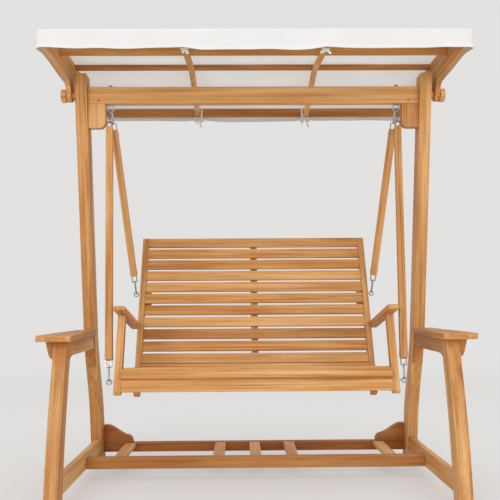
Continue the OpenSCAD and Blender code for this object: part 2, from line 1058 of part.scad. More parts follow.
// snap hook: a long loop of wire, its front side open for the gate
module snap_hook() {
    cheek = 1.1;
    half_ring(hook_z1, 90, hook_wire);
    half_ring(hook_z2, -90, hook_wire);
    translate([0, hook_radius, hook_z2])
    cylinder(h = hook_straight, d = hook_wire, $fn = 20);
    translate([0, -hook_radius, hook_z2])
    cylinder(h = 2.4, d = hook_wire, $fn = 20);
    translate([0, -hook_radius, hook_z1 - 1.5])
    cylinder(h = 1.5, d = hook_wire, $fn = 20);
    for (k = sides) {
        translate([k * (1.6 + cheek / 2) - cheek / 2, -hook_radius - 2, hook_z2])
        cube([cheek, 4, gate_low + 1.2 - hook_z2]);
    }
    translate([0, -hook_radius, gate_low])
    rotate([0, 90, 0])
    cylinder(h = 4, d = 1.8, center = true, $fn = 20);
}

module snap_hooks() {
    color("silver") {
        front_pair() {
            snap_hook();
            low_end(front_length)
            snap_hook();
        }
        rear_pair() {
            snap_hook();
            low_end(rear_length)
            snap_hook();
        }
    }
}

// spring gate: an eye on the hook's pin and a rod that closes the loop
module gate() {
    color("silver")
    translate([0, -hook_radius, 0])
    difference() {
        union() {
            translate([0, 0, gate_low])
            rotate([0, 90, 0])
            cylinder(h = 2.8, d = 4.4, center = true, $fn = 20);
            translate([0, 0, gate_low + 2.6])
            cylinder(h = gate_high - gate_low - 2.6, d = 4, $fn = 20);
            translate([-1.2, -1.4, gate_low])
            cube([2.4, 2.8, 4]);
        }
        translate([0, 0, gate_low])
        rotate([0, 90, 0])
        cylinder(h = 10, d = 1.8 + 2 * bolt_clearance, center = true, $fn = 20);
    }
}

module front_gate(s) {
    mirror([s < 0 ? 1 : 0, 0, 0])
    hang(front_top, front_end)
    children();
}

module rear_gate(s) {
    mirror([s < 0 ? 1 : 0, 0, 0])
    hang(rear_top, rear_end)
    children();
}

module gate_front_top_left() {
    front_gate(-1)
    gate();
}

module gate_front_top_right() {
    front_gate(1)
    gate();
}

module gate_front_low_left() {
    front_gate(-1)
    low_end(front_length)
    gate();
}

module gate_front_low_right() {
    front_gate(1)
    low_end(front_length)
    gate();
}

module gate_rear_top_left() {
    rear_gate(-1)
    gate();
}

module gate_rear_top_right() {
    rear_gate(1)
    gate();
}

module gate_rear_low_left() {
    rear_gate(-1)
    low_end(rear_length)
    gate();
}

module gate_rear_low_right() {
    rear_gate(1)
    low_end(rear_length)
    gate();
}

rear_posts();
front_legs();
shelf_boards();
apron_rails();
apron_brackets();
shelf_knees();
base_side_rails();
front_stretcher();
rear_stretcher();
stretcher_knees();
base_slats();
top_beam();
beam_brackets();
eyebolts();
eyebolt_nuts();
pivot_bolts();
pivot_spacers();
canopy_side_boards();
canopy_rails();
canopy_battens();
canopy_cover();
tie_tapes();
clamp_knob_left();
clamp_knob_right();
arm_posts();
armrests();
back_stiles();
centre_batten();
back_slats();
seat_rails();
front_rail();
nose_slat();
seat_slats();
rear_seat_slat();
eye_blocks();
bench_eyes();
front_bars();
rear_bars();
fork_straps();
fork_bolts();
snap_hooks();
gate_front_top_left();
gate_front_top_right();
gate_front_low_left();
gate_front_low_right();
gate_rear_top_left();
gate_rear_top_right();
gate_rear_low_left();
gate_rear_low_right();
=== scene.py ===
import math

import bpy
import numpy as np
from mathutils import Matrix


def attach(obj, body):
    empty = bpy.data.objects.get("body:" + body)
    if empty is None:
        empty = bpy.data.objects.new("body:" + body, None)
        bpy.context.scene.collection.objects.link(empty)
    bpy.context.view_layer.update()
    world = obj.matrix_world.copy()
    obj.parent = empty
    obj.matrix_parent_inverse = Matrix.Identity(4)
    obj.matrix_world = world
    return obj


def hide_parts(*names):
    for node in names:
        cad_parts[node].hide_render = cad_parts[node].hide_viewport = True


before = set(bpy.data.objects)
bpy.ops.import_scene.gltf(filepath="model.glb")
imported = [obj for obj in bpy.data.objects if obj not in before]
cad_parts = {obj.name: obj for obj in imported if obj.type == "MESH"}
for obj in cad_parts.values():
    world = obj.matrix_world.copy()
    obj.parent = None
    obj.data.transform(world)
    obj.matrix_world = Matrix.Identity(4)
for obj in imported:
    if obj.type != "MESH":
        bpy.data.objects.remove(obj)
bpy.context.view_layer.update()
print("frame loaded,", len(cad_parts), "nodes")

mm = 0.001
bothWays = (-1, 1)  # left and right, or front and rear
acrossAxes = np.array([[0, 1, 0], [0, 0, 1], [1, 0, 0]], float)  # outline in Y and Z, run along X
backAxes = np.array([[1, 0, 0], [0, 0, 1], [0, -1, 0]], float)  # outline in X and Z, run along -Y
planAxes = np.eye(3)  # outline in X and Y, run along Z
alongX, alongY, alongZ = np.eye(3)


# the vector divided by its length
def unit(v):
    v = np.asarray(v, float)
    return v / np.linalg.norm(v)


# rotation matrix about X: cosines and sines of an angle in radians
def aboutX(a):
    return np.array([[1, 0, 0], [0, math.cos(a), -math.sin(a)], [0, math.sin(a), math.cos(a)]])


# the same about Y
def aboutY(a):
    return np.array([[math.cos(a), 0, math.sin(a)], [0, 1, 0], [-math.sin(a), 0, math.cos(a)]])


# 0 below 0, 1 above 1, and 3t^2 - 2t^3 between
def smooth(t):
    t = np.clip(t, 0, 1)
    return t * t * (3 - 2 * t)


# |v|^power with the sign of v: a cosine or sine that swells towards a square below power 1
def softPower(v, power):
    return np.sign(v) * np.abs(v) ** power


# Each corner that turns sharply becomes an arc tangent to both edges, radius = reach / tan(half
# the turn). A gentle point keeps its place. Normals lie to the right of the way round.
def roundOutline(points, radius, steps=3):
    p = np.asarray(points, float)
    ahead = np.roll(p, -1, 0)
    if (p[:, 0] * ahead[:, 1] - p[:, 1] * ahead[:, 0]).sum() < 0:
        p = p[::-1]
    before = p - np.roll(p, 1, 0)
    after = np.roll(p, -1, 0) - p
    lengths = np.minimum(np.hypot(*before.T), np.hypot(*after.T))
    a = before / np.hypot(*before.T)[:, None]
    b = after / np.hypot(*after.T)[:, None]
    turn = np.arctan2(a[:, 0] * b[:, 1] - a[:, 1] * b[:, 0], (a * b).sum(1))
    sharp = np.abs(turn) > 0.35
    half = np.maximum(np.tan(np.abs(turn) / 2), 1e-9)
    reach = np.where(sharp, np.minimum(radius * half, 0.45 * lengths), 0)
    bend = np.where(sharp, reach / half, 0) * np.sign(turn)
    counts = np.where(sharp, steps + 1, 1)
    k = np.repeat(np.arange(len(p)), counts)
    place = np.arange(len(k)) - np.repeat(np.cumsum(counts) - counts, counts)
    t = np.where(sharp[k], place / steps, 0.5)
    angle = turn[k] * t
    out = np.stack([a[k, 1], -a[k, 0]], 1)
    c, s = np.cos(angle), np.sin(angle)
    normal = np.stack([c * out[:, 0] - s * out[:, 1], s * out[:, 0] + c * out[:, 1]], 1)
    centre = p[k] - a[k] * reach[k, None] - out * bend[k, None]
    mitre = np.where(sharp[k], 1, 1 / np.cos(turn[k] / 2))
    room = np.where(sharp[k] & (bend[k] > 0), 0.95 * bend[k], 1e9)
    rim = np.where(sharp[k], np.sin(np.pi * t), 0)
    return centre + normal * bend[k, None], normal, mitre, room, rim


# quads of a grid with that many rows and columns; closed joins the last column to the first
def gridQuads(rows, columns, closed=True, ring=False):
    r = np.arange(rows if ring else rows - 1)[:, None]
    c = np.arange(columns if closed else columns - 1)[None]
    nextRow, nextColumn = (r + 1) % rows, (c + 1) % columns
    corners = (r * columns + c, r * columns + nextColumn, nextRow * columns + nextColumn,
               nextRow * columns + c)
    return np.stack([q.ravel() for q in corners], 1)


# the first and the last row of a grid as one face each, both pointing outwards
def endCaps(rows, columns):
    return [np.arange(columns)[::-1], np.arange(columns) + (rows - 1) * columns]


# surface normals of a grid of points: the slope across the columns times the slope along the rows
def gridNormals(grid, closed=True, ring=False):
    column = np.roll(grid, -1, 1) - np.roll(grid, 1, 1) if closed else np.gradient(grid, axis=1)
    row = np.roll(grid, -1, 0) - np.roll(grid, 1, 0) if ring else np.gradient(grid, axis=0)
    n = np.cross(column, row)
    return (n / np.maximum(np.linalg.norm(n, axis=2, keepdims=True), 1e-12)).reshape(-1, 3)


dice = np.random.default_rng(41)


# where each point lies in its own plank: metres along the fibres, across them and through
# them, moved so that the heart of the tree lies a little outside the wood
def inTheWood(place, along, face):
    along = unit(along)
    wide = unit(np.cross(face, along))
    face = np.cross(along, wide)
    heart = [dice.uniform(0, 6), dice.uniform(-0.045, 0.045),
             dice.uniform(0.035, 0.11) * dice.choice([-1, 1])]
    return np.stack([place @ along, place @ wide, place @ face], 1) * mm + heart


# An outline is run from low to high along the third axis. Near both ends it draws in by
# ease * (1 - sin) while it still moves by ease * (1 - cos), which rounds the rims.
def board(outline, low, high, axes, along, face, ease=2.2, radius=3.0, origin=(0, 0, 0), tone=0.0,
          steps=3):
    point, normal, mitre, room, rim = roundOutline(outline, radius, steps)
    phi = np.linspace(0, np.pi / 2, steps + 1)
    inset = np.concatenate([ease * (1 - np.sin(phi)), ease * (1 - np.sin(phi[::-1]))])
    run = np.concatenate([low + ease * (1 - np.cos(phi)), high - ease * (1 - np.cos(phi[::-1]))])
    out = np.concatenate([np.sin(phi), np.sin(phi[::-1])])
    up = np.concatenate([-np.cos(phi), np.cos(phi[::-1])])
    rows, columns = len(run), len(point)
    draw = np.minimum(inset[:, None] * mitre[None], room[None])
    flat = point[None] - draw[..., None] * normal[None]
    across = np.broadcast_to(run[:, None, None], (rows, columns, 1))
    local = np.concatenate([flat, across], 2).reshape(-1, 3)
    turned = np.concatenate([normal[None] * out[:, None, None],
                             np.broadcast_to(up[:, None, None], (rows, columns, 1))], 2)
    place = np.asarray(origin, float) + local @ axes
    bare = np.maximum(np.sin(2 * np.arcsin(out))[:, None], rim[None] * out[:, None])
    return {"place": place, "normal": turned.reshape(-1, 3) @ axes,
            "caps": endCaps(rows, columns), "quads": gridQuads(rows, columns),
            "grain": inTheWood(place, along, face), "rim": bare.ravel(),
            "tone": tone + dice.uniform(-1, 1)}


# the same outline on the right and on the left, between two distances from the middle
def bothSides(outline, low, high, along, face=alongX, **more):
    return [board(outline, low, high, acrossAxes, along, face, **more),
            board(outline, -high, -low, acrossAxes, along, face, **more)]


# an outline in X and Z on the right and its mirror image on the left, y from near to far
def mirrored(outline, near, far, along, face=alongY, axes=backAxes, **more):
    outline = np.asarray(outline, float)
    low, high = (-far, -near) if axes is backAxes else (near, far)
    return [board(outline * [s, 1], low, high, axes, along * np.array([s, 1, 1]), face, **more)
            for s in bothWays]


# A closed profile is carried along a path. It stands square to the path's slope, its second
# coordinate towards lift. Both ends are closed.
def carried(path, profile, lift, scale=1.0):
    path = np.asarray(path, float)
    slope = np.gradient(path, axis=0)
    slope /= np.linalg.norm(slope, axis=1, keepdims=True)
    side = np.cross(slope, np.broadcast_to(np.asarray(lift, float), path.shape))
    side /= np.linalg.norm(side, axis=1, keepdims=True)
    top = np.cross(side, slope)
    scale = np.broadcast_to(np.asarray(scale, float), len(path))[:, None, None]
    profile = np.asarray(profile, float)
    grid = (path[:, None] + scale * profile[None, :, :1] * side[:, None]
            + scale * profile[None, :, 1:] * top[:, None])
    rows, columns = grid.shape[:2]
    far = np.concatenate([[0], np.cumsum(np.linalg.norm(np.diff(path, axis=0), axis=1))])
    cloth = np.stack([np.broadcast_to(far[:, None], (rows, columns)),
                      np.broadcast_to(profile[None, :, 0], (rows, columns)),
                      np.full((rows, columns), 1000.0)], 2).reshape(-1, 3) * mm
    return {"place": grid.reshape(-1, 3), "normal": gridNormals(grid),
            "quads": gridQuads(rows, columns), "caps": endCaps(rows, columns), "cloth": cloth}


# A turned shape: at each station its radius, drawn round the axis. Grooves lower the radius by
# depth times a sharpened cosine. A ring joins the last station to the first one.
def turned(stations, radii, centre, axis, grooves=0, depth=0.0, segments=96, ring=False, tone=0.0):
    axis = unit(axis)
    side = unit(np.cross(axis, alongZ if abs(axis[2]) < 0.9 else alongX))
    lift = np.cross(axis, side)
    angle = np.linspace(0, 2 * np.pi, segments, endpoint=False)
    radii = np.asarray(radii, float)
    cut = depth * (0.5 + 0.5 * np.cos(grooves * angle)) ** 3 if grooves else 0 * angle
    reach = radii[:, None] * (1 - cut[None] * smooth(radii / max(radii) * 4 - 2.6)[:, None])
    grid = (np.asarray(centre, float) + np.asarray(stations, float)[:, None, None] * axis
            + reach[..., None] * (np.cos(angle)[None, :, None] * side
                                  + np.sin(angle)[None, :, None] * lift))
    rows = len(radii)
    place = grid.reshape(-1, 3)
    return {"place": place, "normal": gridNormals(grid, ring=ring),
            "caps": [] if ring else endCaps(rows, segments),
            "quads": gridQuads(rows, segments, ring=ring),
            "grain": inTheWood(place, axis, side), "tone": tone + dice.uniform(-1, 1),
            "rim": np.zeros(len(place))}


# one value or vector for each vertex, read by the materials
def putAttribute(mesh, name, kind, values):
    slot = mesh.attributes.new(name, kind, "POINT")
    field = "vector" if kind == "FLOAT_VECTOR" else "value"
    slot.data.foreach_set(field, np.ascontiguousarray(values, np.float32).ravel())


# joins the parts of one piece into one mesh and puts it on its body in place of its CAD nodes
def makePiece(name, material, body, replaced, parts, shade=True):
    starts = np.cumsum([0] + [len(p["place"]) for p in parts[:-1]])
    place = np.concatenate([p["place"] for p in parts]) * mm
    faces = []
    for p, start in zip(parts, starts):
        faces += (p["quads"] + start).tolist()
        faces += [(cap + start).tolist() for cap in p["caps"]]
    mesh = bpy.data.meshes.new(name)
    mesh.from_pydata(place.tolist(), [], faces)
    mesh.polygons.foreach_set("use_smooth", np.ones(len(faces), bool))
    if "grain" in parts[0]:
        putAttribute(mesh, "grain", "FLOAT_VECTOR", np.concatenate([p["grain"] for p in parts]))
        putAttribute(mesh, "rim", "FLOAT", np.concatenate([p["rim"] for p in parts]))
        putAttribute(mesh, "tone", "FLOAT",
                     np.concatenate([np.full(len(p["place"]), p["tone"]) for p in parts]))
    if "cloth" in parts[0]:
        putAttribute(mesh, "cloth", "FLOAT_VECTOR", np.concatenate([p["cloth"] for p in parts]))
    if shade:
        normals = np.concatenate([p["normal"] for p in parts])
        mesh.normals_split_custom_set_from_vertices(normals.tolist())
    piece = bpy.data.objects.new(name, mesh)
    bpy.context.scene.collection.objects.link(piece)
    mesh.materials.append(material)
    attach(piece, body)
    if replaced:
        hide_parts(*replaced)
    return piece


# sets a node's inputs: a number or colour is written in, another node's output is linked
def setInputs(tree, node, inputs):
    for key, value in inputs.items():
        if isinstance(value, bpy.types.NodeSocket):
            tree.links.new(value, node.inputs[key])
        else:
            node.inputs[key].default_value = value


# a new node: first its settings, then its inputs
def addNode(tree, kind, inputs=None, **settings):
    made = tree.nodes.new(kind)
    for key, value in settings.items():
        setattr(made, key, value)
    setInputs(tree, made, inputs or {})
    return made


# a material, its node tree and its shader
def newMaterial(name):
    material = bpy.data.materials.new(name)
    material.use_nodes = True
    tree = material.node_tree
    return material, tree, tree.nodes["Principled BSDF"]


# an attribute of the mesh: Vector for three numbers, Fac for one
def readAttribute(tree, name, output):
    return addNode(tree, "ShaderNodeAttribute", attribute_name=name).outputs[output]


# one step of arithmetic; clamp keeps the result between 0 and 1
def maths(tree, operation, first, second=0.0, third=0.0, clamp=False):
    made = addNode(tree, "ShaderNodeMath", {0: first, 1: second, 2: third}, operation=operation,
                   use_clamp=clamp)
    return made.outputs[0]


# value * factor
def times(tree, value, factor):
    return maths(tree, "MULTIPLY", value, factor)


# value * gain + offset
def spread(tree, value, gain, offset, clamp=True):
    return maths(tree, "MULTIPLY_ADD", value, gain, offset, clamp)


# the same value in red, green and blue
def grey(value):
    return (value, value, value, 1)


# first * (1 - factor) + second * factor, or another blend of the two
def mixColour(tree, factor, first, second, blend="MIX"):
    made = addNode(tree, "ShaderNodeMix", {0: factor, 6: first, 7: second}, data_type="RGBA",
                   blend_type=blend)
    return made.outputs[2]


# lays colours over a base one after another, each given as its share and the colour
def layColours(tree, base, layers):
    for share, colour in layers:
        base = mixColour(tree, share, base, colour)
    return base


# noise on coordinates stretched by a scale: how often it repeats in a metre along each
def stretchedNoise(tree, vector, scale, detail=2.0, roughness=0.5):
    stretched = addNode(tree, "ShaderNodeMapping", {"Vector": vector, "Scale": scale})
    return addNode(tree, "ShaderNodeTexNoise", {"Vector": stretched.outputs[0], "Scale": 1.0,
                                                "Detail": detail, "Roughness": roughness})


# the value of that noise alone
def streaks(tree, vector, scale, detail=2.0, roughness=0.5):
    return stretchedNoise(tree, vector, scale, detail, roughness).outputs[0]


# colours between stops, each a place from 0 to 1 and its colour
def ramp(tree, factor, stops):
    made = addNode(tree, "ShaderNodeValToRGB", {"Fac": factor})
    marks = made.color_ramp.elements
    marks[0].position, marks[0].color = stops[0]
    marks[1].position, marks[1].color = stops[-1]
    for place, colour in stops[1:-1]:
        marks.new(place).color = colour
    return made.outputs[0]


# the surface normal tilted by the slope of height
def bumpFrom(tree, strength, distance, height):
    return addNode(tree, "ShaderNodeBump", {"Strength": strength, "Distance": distance,
                                            "Height": height}).outputs[0]


# what the material shows: first * (1 - share) + second * share
def showSurface(tree, share, first, second):
    mix = addNode(tree, "ShaderNodeMixShader", {0: share, 1: first, 2: second})
    tree.links.new(mix.outputs[0], tree.nodes["Material Output"].inputs["Surface"])


# Each pair spreads a noise by its gain and offset; each share is how strongly a layer covers.
teakFinish = {
    "early": (0.655, 0.350, 0.122, 1), "middle": (0.550, 0.225, 0.052, 1),
    "late": (0.270, 0.088, 0.018, 1), "pale": (0.760, 0.450, 0.185, 1),
    "poreColour": (0.12, 0.045, 0.016, 1), "ringGap": 0.0072, "ringBend": 0.055,
    "ringShare": 0.50, "ringPatches": (2.4, -0.70), "clouds": (3.2, -1.1),
    "bands": (4.2, -2.02), "glow": (3.2, -1.55), "fibres": (0.95, 0.52),
    "pores": (-7.0, 2.6), "poreShare": 0.6, "poreDepth": 0.8, "lift": 0.26, "drop": -0.30,
    "wear": (0.9, -0.05), "wearShare": 0.55, "rough": (0.22, 0.44), "gloss": 0.30,
    "bump": 0.22, "bumpDepth": 0.0006,
}
# painted shade: the inner rails and the other parts in shade take a redder copy of teak, and the
# timber at the back of the base, in the deepest shade, takes the darkest copy
redShadeFinish = dict(teakFinish, early=(0.590, 0.265, 0.070, 1), middle=(0.480, 0.180, 0.038, 1),
                 late=(0.240, 0.072, 0.014, 1), pale=(0.660, 0.345, 0.115, 1))
darkShadeFinish = dict(teakFinish, early=(0.420, 0.150, 0.034, 1), middle=(0.310, 0.095, 0.018, 1),
                  late=(0.150, 0.040, 0.009, 1), pale=(0.520, 0.235, 0.070, 1))


# The ring is the distance from the heart, bent by slow noise and counted in ring gaps; its
# fraction makes soft early wood that ends in a dark late line.
def woodRings(tree, grain, finish):
    drift = stretchedNoise(tree, grain, (1.1, 7.0, 7.0)).outputs["Color"]
    centred = addNode(tree, "ShaderNodeVectorMath", {0: drift, 1: (0.5, 0.5, 0.5)},
                      operation="SUBTRACT").outputs[0]
    bend = (0, finish["ringBend"], finish["ringBend"])
    pushed = addNode(tree, "ShaderNodeVectorMath", {0: centred, 1: bend, 2: grain},
                     operation="MULTIPLY_ADD").outputs[0]
    place = addNode(tree, "ShaderNodeSeparateXYZ", {0: pushed}).outputs
    heart = addNode(tree, "ShaderNodeCombineXYZ", {1: place[1], 2: place[2]}).outputs[0]
    far = addNode(tree, "ShaderNodeVectorMath", {0: heart}, operation="LENGTH").outputs["Value"]
    ring = maths(tree, "FRACT", maths(tree, "DIVIDE", far, finish["ringGap"]))
    return ramp(tree, ring, [(0.0, grey(0.55)), (0.10, grey(0)), (0.62, grey(0.16)),
                             (0.93, grey(1)), (1.0, grey(0.75))])


# Solid teak: colour drifts between early and middle wood, rings, dark bands and pale stripes
# lie over it, then fibres and pores. Each board has its own tone, and its rims are worn pale.
def teakMaterial(name, finish):
    material, tree, shader = newMaterial(name)
    grain = readAttribute(tree, "grain", "Vector")
    tone = readAttribute(tree, "tone", "Fac")
    rim = readAttribute(tree, "rim", "Fac")
    broad = streaks(tree, grain, (0.9, 26, 26), 3.0)
    fibre = streaks(tree, grain, (9, 620, 620), 3.0, 0.6)
    band = streaks(tree, grain, (1.6, 95, 95), 4.0, 0.70)
    cloud = streaks(tree, grain, (2.4, 9, 9), 2.0)
    glow = streaks(tree, grain, (1.3, 42, 42), 2.0)
    pore = streaks(tree, grain, (55, 1500, 1500), 1.0)
    rings = times(tree, woodRings(tree, grain, finish),
                  spread(tree, broad, *finish["ringPatches"]))
    pores = spread(tree, pore, *finish["pores"])
    worn = times(tree, rim, spread(tree, broad, *finish["wear"]))
    base = mixColour(tree, spread(tree, cloud, *finish["clouds"]), finish["early"],
                     finish["middle"])
    base = layColours(tree, base, (
        (times(tree, rings, finish["ringShare"]), finish["late"]),
        (spread(tree, band, *finish["bands"]), finish["late"]),
        (spread(tree, glow, *finish["glow"]), finish["pale"])))
    fine = spread(tree, fibre, *finish["fibres"], False)
    fibres = addNode(tree, "ShaderNodeCombineColor", {0: fine, 1: fine, 2: fine}).outputs[0]
    base = mixColour(tree, 1.0, base, fibres, "MULTIPLY")
    base = layColours(tree, base, (
        (times(tree, pores, finish["poreShare"]), finish["poreColour"]),
        (spread(tree, tone, finish["lift"], 0.0), finish["pale"]),
        (spread(tree, tone, finish["drop"], 0.0), finish["late"]),
        (times(tree, worn, finish["wearShare"]), finish["pale"])))
    rough = spread(tree, fibre, *finish["rough"], False)
    height = maths(tree, "SUBTRACT", fibre, times(tree, pores, finish["poreDepth"]))
    setInputs(tree, shader, {
        "Base Color": base, "Roughness": rough, "Specular IOR Level": finish["gloss"],
        "Normal": bumpFrom(tree, finish["bump"], finish["bumpDepth"], height)})
    return material


steelFinish = {"colour": (0.45, 0.46, 0.48, 1), "stain": 0.72, "clouds": (1.8, -0.65),
               "rough": (0.25, 0.24), "bump": 0.15, "bumpDepth": 0.0003}


# Zinc plated steel: clouded colour and roughness, and short scratches as bump.
def steelMaterial(name, finish):
    material, tree, shader = newMaterial(name)
    where = addNode(tree, "ShaderNodeTexCoord").outputs["Object"]
    cloud = addNode(tree, "ShaderNodeTexNoise", {"Vector": where, "Scale": 70.0,
                                                 "Detail": 4.0}).outputs[0]
    scratch = streaks(tree, where, (260, 260, 1400), 2.0)
    stained = tuple(finish["stain"] * c for c in finish["colour"][:3]) + (1,)
    setInputs(tree, shader, {
        "Base Color": mixColour(tree, spread(tree, cloud, *finish["clouds"]), finish["colour"],
                                stained),
        "Roughness": spread(tree, cloud, *finish["rough"], False), "Metallic": 1.0,
        "Normal": bumpFrom(tree, finish["bump"], finish["bumpDepth"], scratch)})
    return material


canvasFinish = {
    "colour": (0.905, 0.905, 0.900, 1), "shade": (0.830, 0.830, 0.822, 1),
    "threadColour": (0.62, 0.61, 0.58, 1), "thread": 1150.0, "hem": 0.017, "stitch": 0.0032,
    "slubs": 0.16, "threads": 0.35, "through": 0.52, "bump": 0.35, "bumpDepth": 0.0004,
    "roughness": 0.85, "sheen": 0.15,
}
tapeFinish = dict(canvasFinish, hem=0.0, through=0.15)


# Plain woven canvas that lets some light through: warp and weft are sines of the two ways
# along the cloth, the seam is a thin line above the hem cut into stitches by a third sine. The
# cloth attribute holds metres along the edge, metres up from the hem, and how thin it is.
def canvasMaterial(name, finish):
    material, tree, shader = newMaterial(name)
    cloth = readAttribute(tree, "cloth", "Vector")
    along, up, thin = addNode(tree, "ShaderNodeSeparateXYZ", {0: cloth}).outputs
    warp, weft, dash = [
        maths(tree, "SINE", times(tree, way, 2 * math.pi * count))
        for way, count in ((along, finish["thread"]), (up, finish["thread"]),
                           (along, 1 / finish["stitch"]))]
    slub = streaks(tree, cloth, (40, 700, 40), 3.0)
    cloud = streaks(tree, cloth, (5, 5, 5), 3.0)
    seamFar = maths(tree, "ABSOLUTE", maths(tree, "SUBTRACT", up, finish["hem"]))
    stitches = times(tree, spread(tree, seamFar, -900.0, 1.0), spread(tree, dash, 1.5, 0.7))
    inHem = maths(tree, "LESS_THAN", up, finish["hem"])
    base = layColours(tree, finish["colour"], (
        (spread(tree, cloud, 1.2, -0.35), finish["shade"]),
        (times(tree, slub, finish["slubs"]), finish["shade"]),
        (times(tree, stitches, finish["threads"]), finish["threadColour"])))
    height = spread(tree, times(tree, warp, weft), 0.3, times(tree, slub, 0.8), False)
    height = spread(tree, inHem, 2.4, height, False)
    height = spread(tree, stitches, -2.0, height, False)
    bump = bumpFrom(tree, finish["bump"], finish["bumpDepth"], height)
    setInputs(tree, shader, {"Base Color": base, "Normal": bump,
                             "Roughness": finish["roughness"], "Sheen Weight": finish["sheen"]})
    through = addNode(tree, "ShaderNodeBsdfTranslucent", {"Color": base, "Normal": bump})
    share = spread(tree, inHem, -0.2 * finish["through"], finish["through"], False)
    showSurface(tree, times(tree, share, thin), shader.outputs[0], through.outputs[0])
    return material


teak = teakMaterial("teak", teakFinish)
# painted shade: the next two are copies of teak with a redder and a darker colour, for parts that
# lie in shade
redShadeTeak = teakMaterial("redShadeTeak", redShadeFinish)
darkShadeTeak = teakMaterial("darkShadeTeak", darkShadeFinish)
steel = steelMaterial("zincSteel", steelFinish)
canvas = canvasMaterial("canvas", canvasFinish)
tapeCanvas = canvasMaterial("tapeCanvas", tapeFinish)
print("materials made")

# side frames, sizes in millimetres as in the CAD source
sideFrame = {
    "half": 837.0, "inner": 782.0, "railInner": 788.5, "railThick": 42.0, "shelfTop": 679.0,
    "shelfThick": 25.0, "apronHeight": 67.0, "baseLow": 38.0, "baseHigh": 118.0,
    "baseThick": 26.0,
}
post = {"foot": 286.5, "lean": 0.135, "sweep": 73.3, "sweepFrom": 235.0, "sweepOver": 423.0,
        "depth": 83.0, "heel": 11.0, "heelHeight": 500.0, "height": 1882.0}
leg = {"foot": -601.4, "lean": 0.17, "bow": 70.6, "depth": 80.0, "heel": 8.0}
hairline = 0.2  # left where timbers meet, so that no two faces lie in one plane
shelfBottom = sideFrame["shelfTop"] - sideFrame["shelfThick"]
apronBottom = shelfBottom - sideFrame["apronHeight"]
half, inner = sideFrame["half"], sideFrame["inner"]
railIn = sideFrame["railInner"]
railOut = railIn + sideFrame["railThick"]


# front line of a rear post: foot - lean * z - sweep, which turns it from foot to upper part
def postFront(z):
    z = np.asarray(z, float)
    swept = smooth((z - post["sweepFrom"]) / post["sweepOver"])
    return post["foot"] - post["lean"] * z - post["sweep"] * swept


# its rear line: the front line + depth, and a heel that fades with the height
def postRear(z):
    heel = post["heel"] * (1 - smooth(np.asarray(z, float) / post["heelHeight"]))
    return postFront(z) + post["depth"] + heel


# front line of a front leg: foot + lean * z + bow * (z / shelf's height)^2
def legFront(z):
    z = np.asarray(z, float)
    return leg["foot"] + leg["lean"] * z + leg["bow"] * (z / shelfBottom) ** 2


# its rear line: the front line + depth, and a heel that shrinks evenly to nothing
def legRear(z):
    z = np.asarray(z, float)
    return legFront(z) + leg["depth"] + leg["heel"] * (1 - z / shelfBottom)


# a closed outline, up one line and down the other
def upAndDown(front, rear, z):
    return np.concatenate([np.stack([front(z), z], 1), np.stack([rear(z), z], 1)[::-1]])


postOutline = upAndDown(postFront, postRear, np.linspace(0, post["height"], 49))
legOutline = upAndDown(legFront, legRear, np.linspace(0, shelfBottom, 25))
makePiece("rearPosts", teak, "stand", ["rear_posts"],
          bothSides(postOutline, inner, half, (0, -0.16, 1), radius=4, ease=3.5))
makePiece("frontLegs", teak, "stand", ["front_legs"],
          bothSides(legOutline, inner, half, (0, 0.25, 1), radius=4, ease=3.5))

# each ease is where along the shelf an edge starts to move, and over how much of it
shelf = {"front": -489.0, "outer": 896.0, "width": 144.0, "rearOuter": 877.0, "rearInner": 778.0,
         "corner": 10.0, "overPost": 22.0, "notch": 22.5, "outerEase": (0.25, 0.5),
         "innerEase": (0.2, 0.6)}


# plan of a shelf: both edges ease from the wide front to the narrow rear, which fits the post
def shelfOutline():
    rear = float(postFront(sideFrame["shelfTop"])) + shelf["overPost"]
    t = np.linspace(0, 1, 25)
    y = shelf["front"] + (rear - shelf["front"]) * t
    outerMove, innerMove = [smooth((t - start) / run)
                            for start, run in (shelf["outerEase"], shelf["innerEase"])]
    outer = shelf["outer"] - (shelf["outer"] - shelf["rearOuter"]) * outerMove
    innerEdge = shelf["outer"] - shelf["width"]
    innerEdge = innerEdge + (shelf["rearInner"] - innerEdge) * innerMove
    deep = rear - shelf["notch"]
    notch = [[half, rear], [half, deep], [inner, deep], [inner, rear]]
    return np.concatenate([np.stack([outer, y], 1), notch, np.stack([innerEdge, y], 1)[::-1]])


makePiece("shelfBoards", teak, "stand", ["shelf_boards"],
          mirrored(shelfOutline(), shelfBottom, sideFrame["shelfTop"], alongY, alongZ, planAxes,
                   radius=shelf["corner"], ease=3.5, tone=-1.2))


# a straight rail between leg and post, its ends cut to their slopes
def sideRail(low, high):
    return [[legRear(low), low], [postFront(low), low], [postFront(high), high],
            [legRear(high), high]]


makePiece("apronRails", teak, "stand", ["apron_rails"],
          bothSides(sideRail(apronBottom, shelfBottom - hairline), railIn, railOut,
                    alongY, tone=-0.2))
makePiece("baseSideRails", teak, "stand", ["base_side_rails"],
          bothSides(sideRail(sideFrame["baseLow"], sideFrame["baseHigh"]), railIn,
                    railIn + sideFrame["baseThick"], alongY, ease=3, tone=0.5))

bracket = {"fall": 84.0, "legFoot": 8.0, "legReach": 86.0, "postFoot": 12.0, "postReach": 50.0}


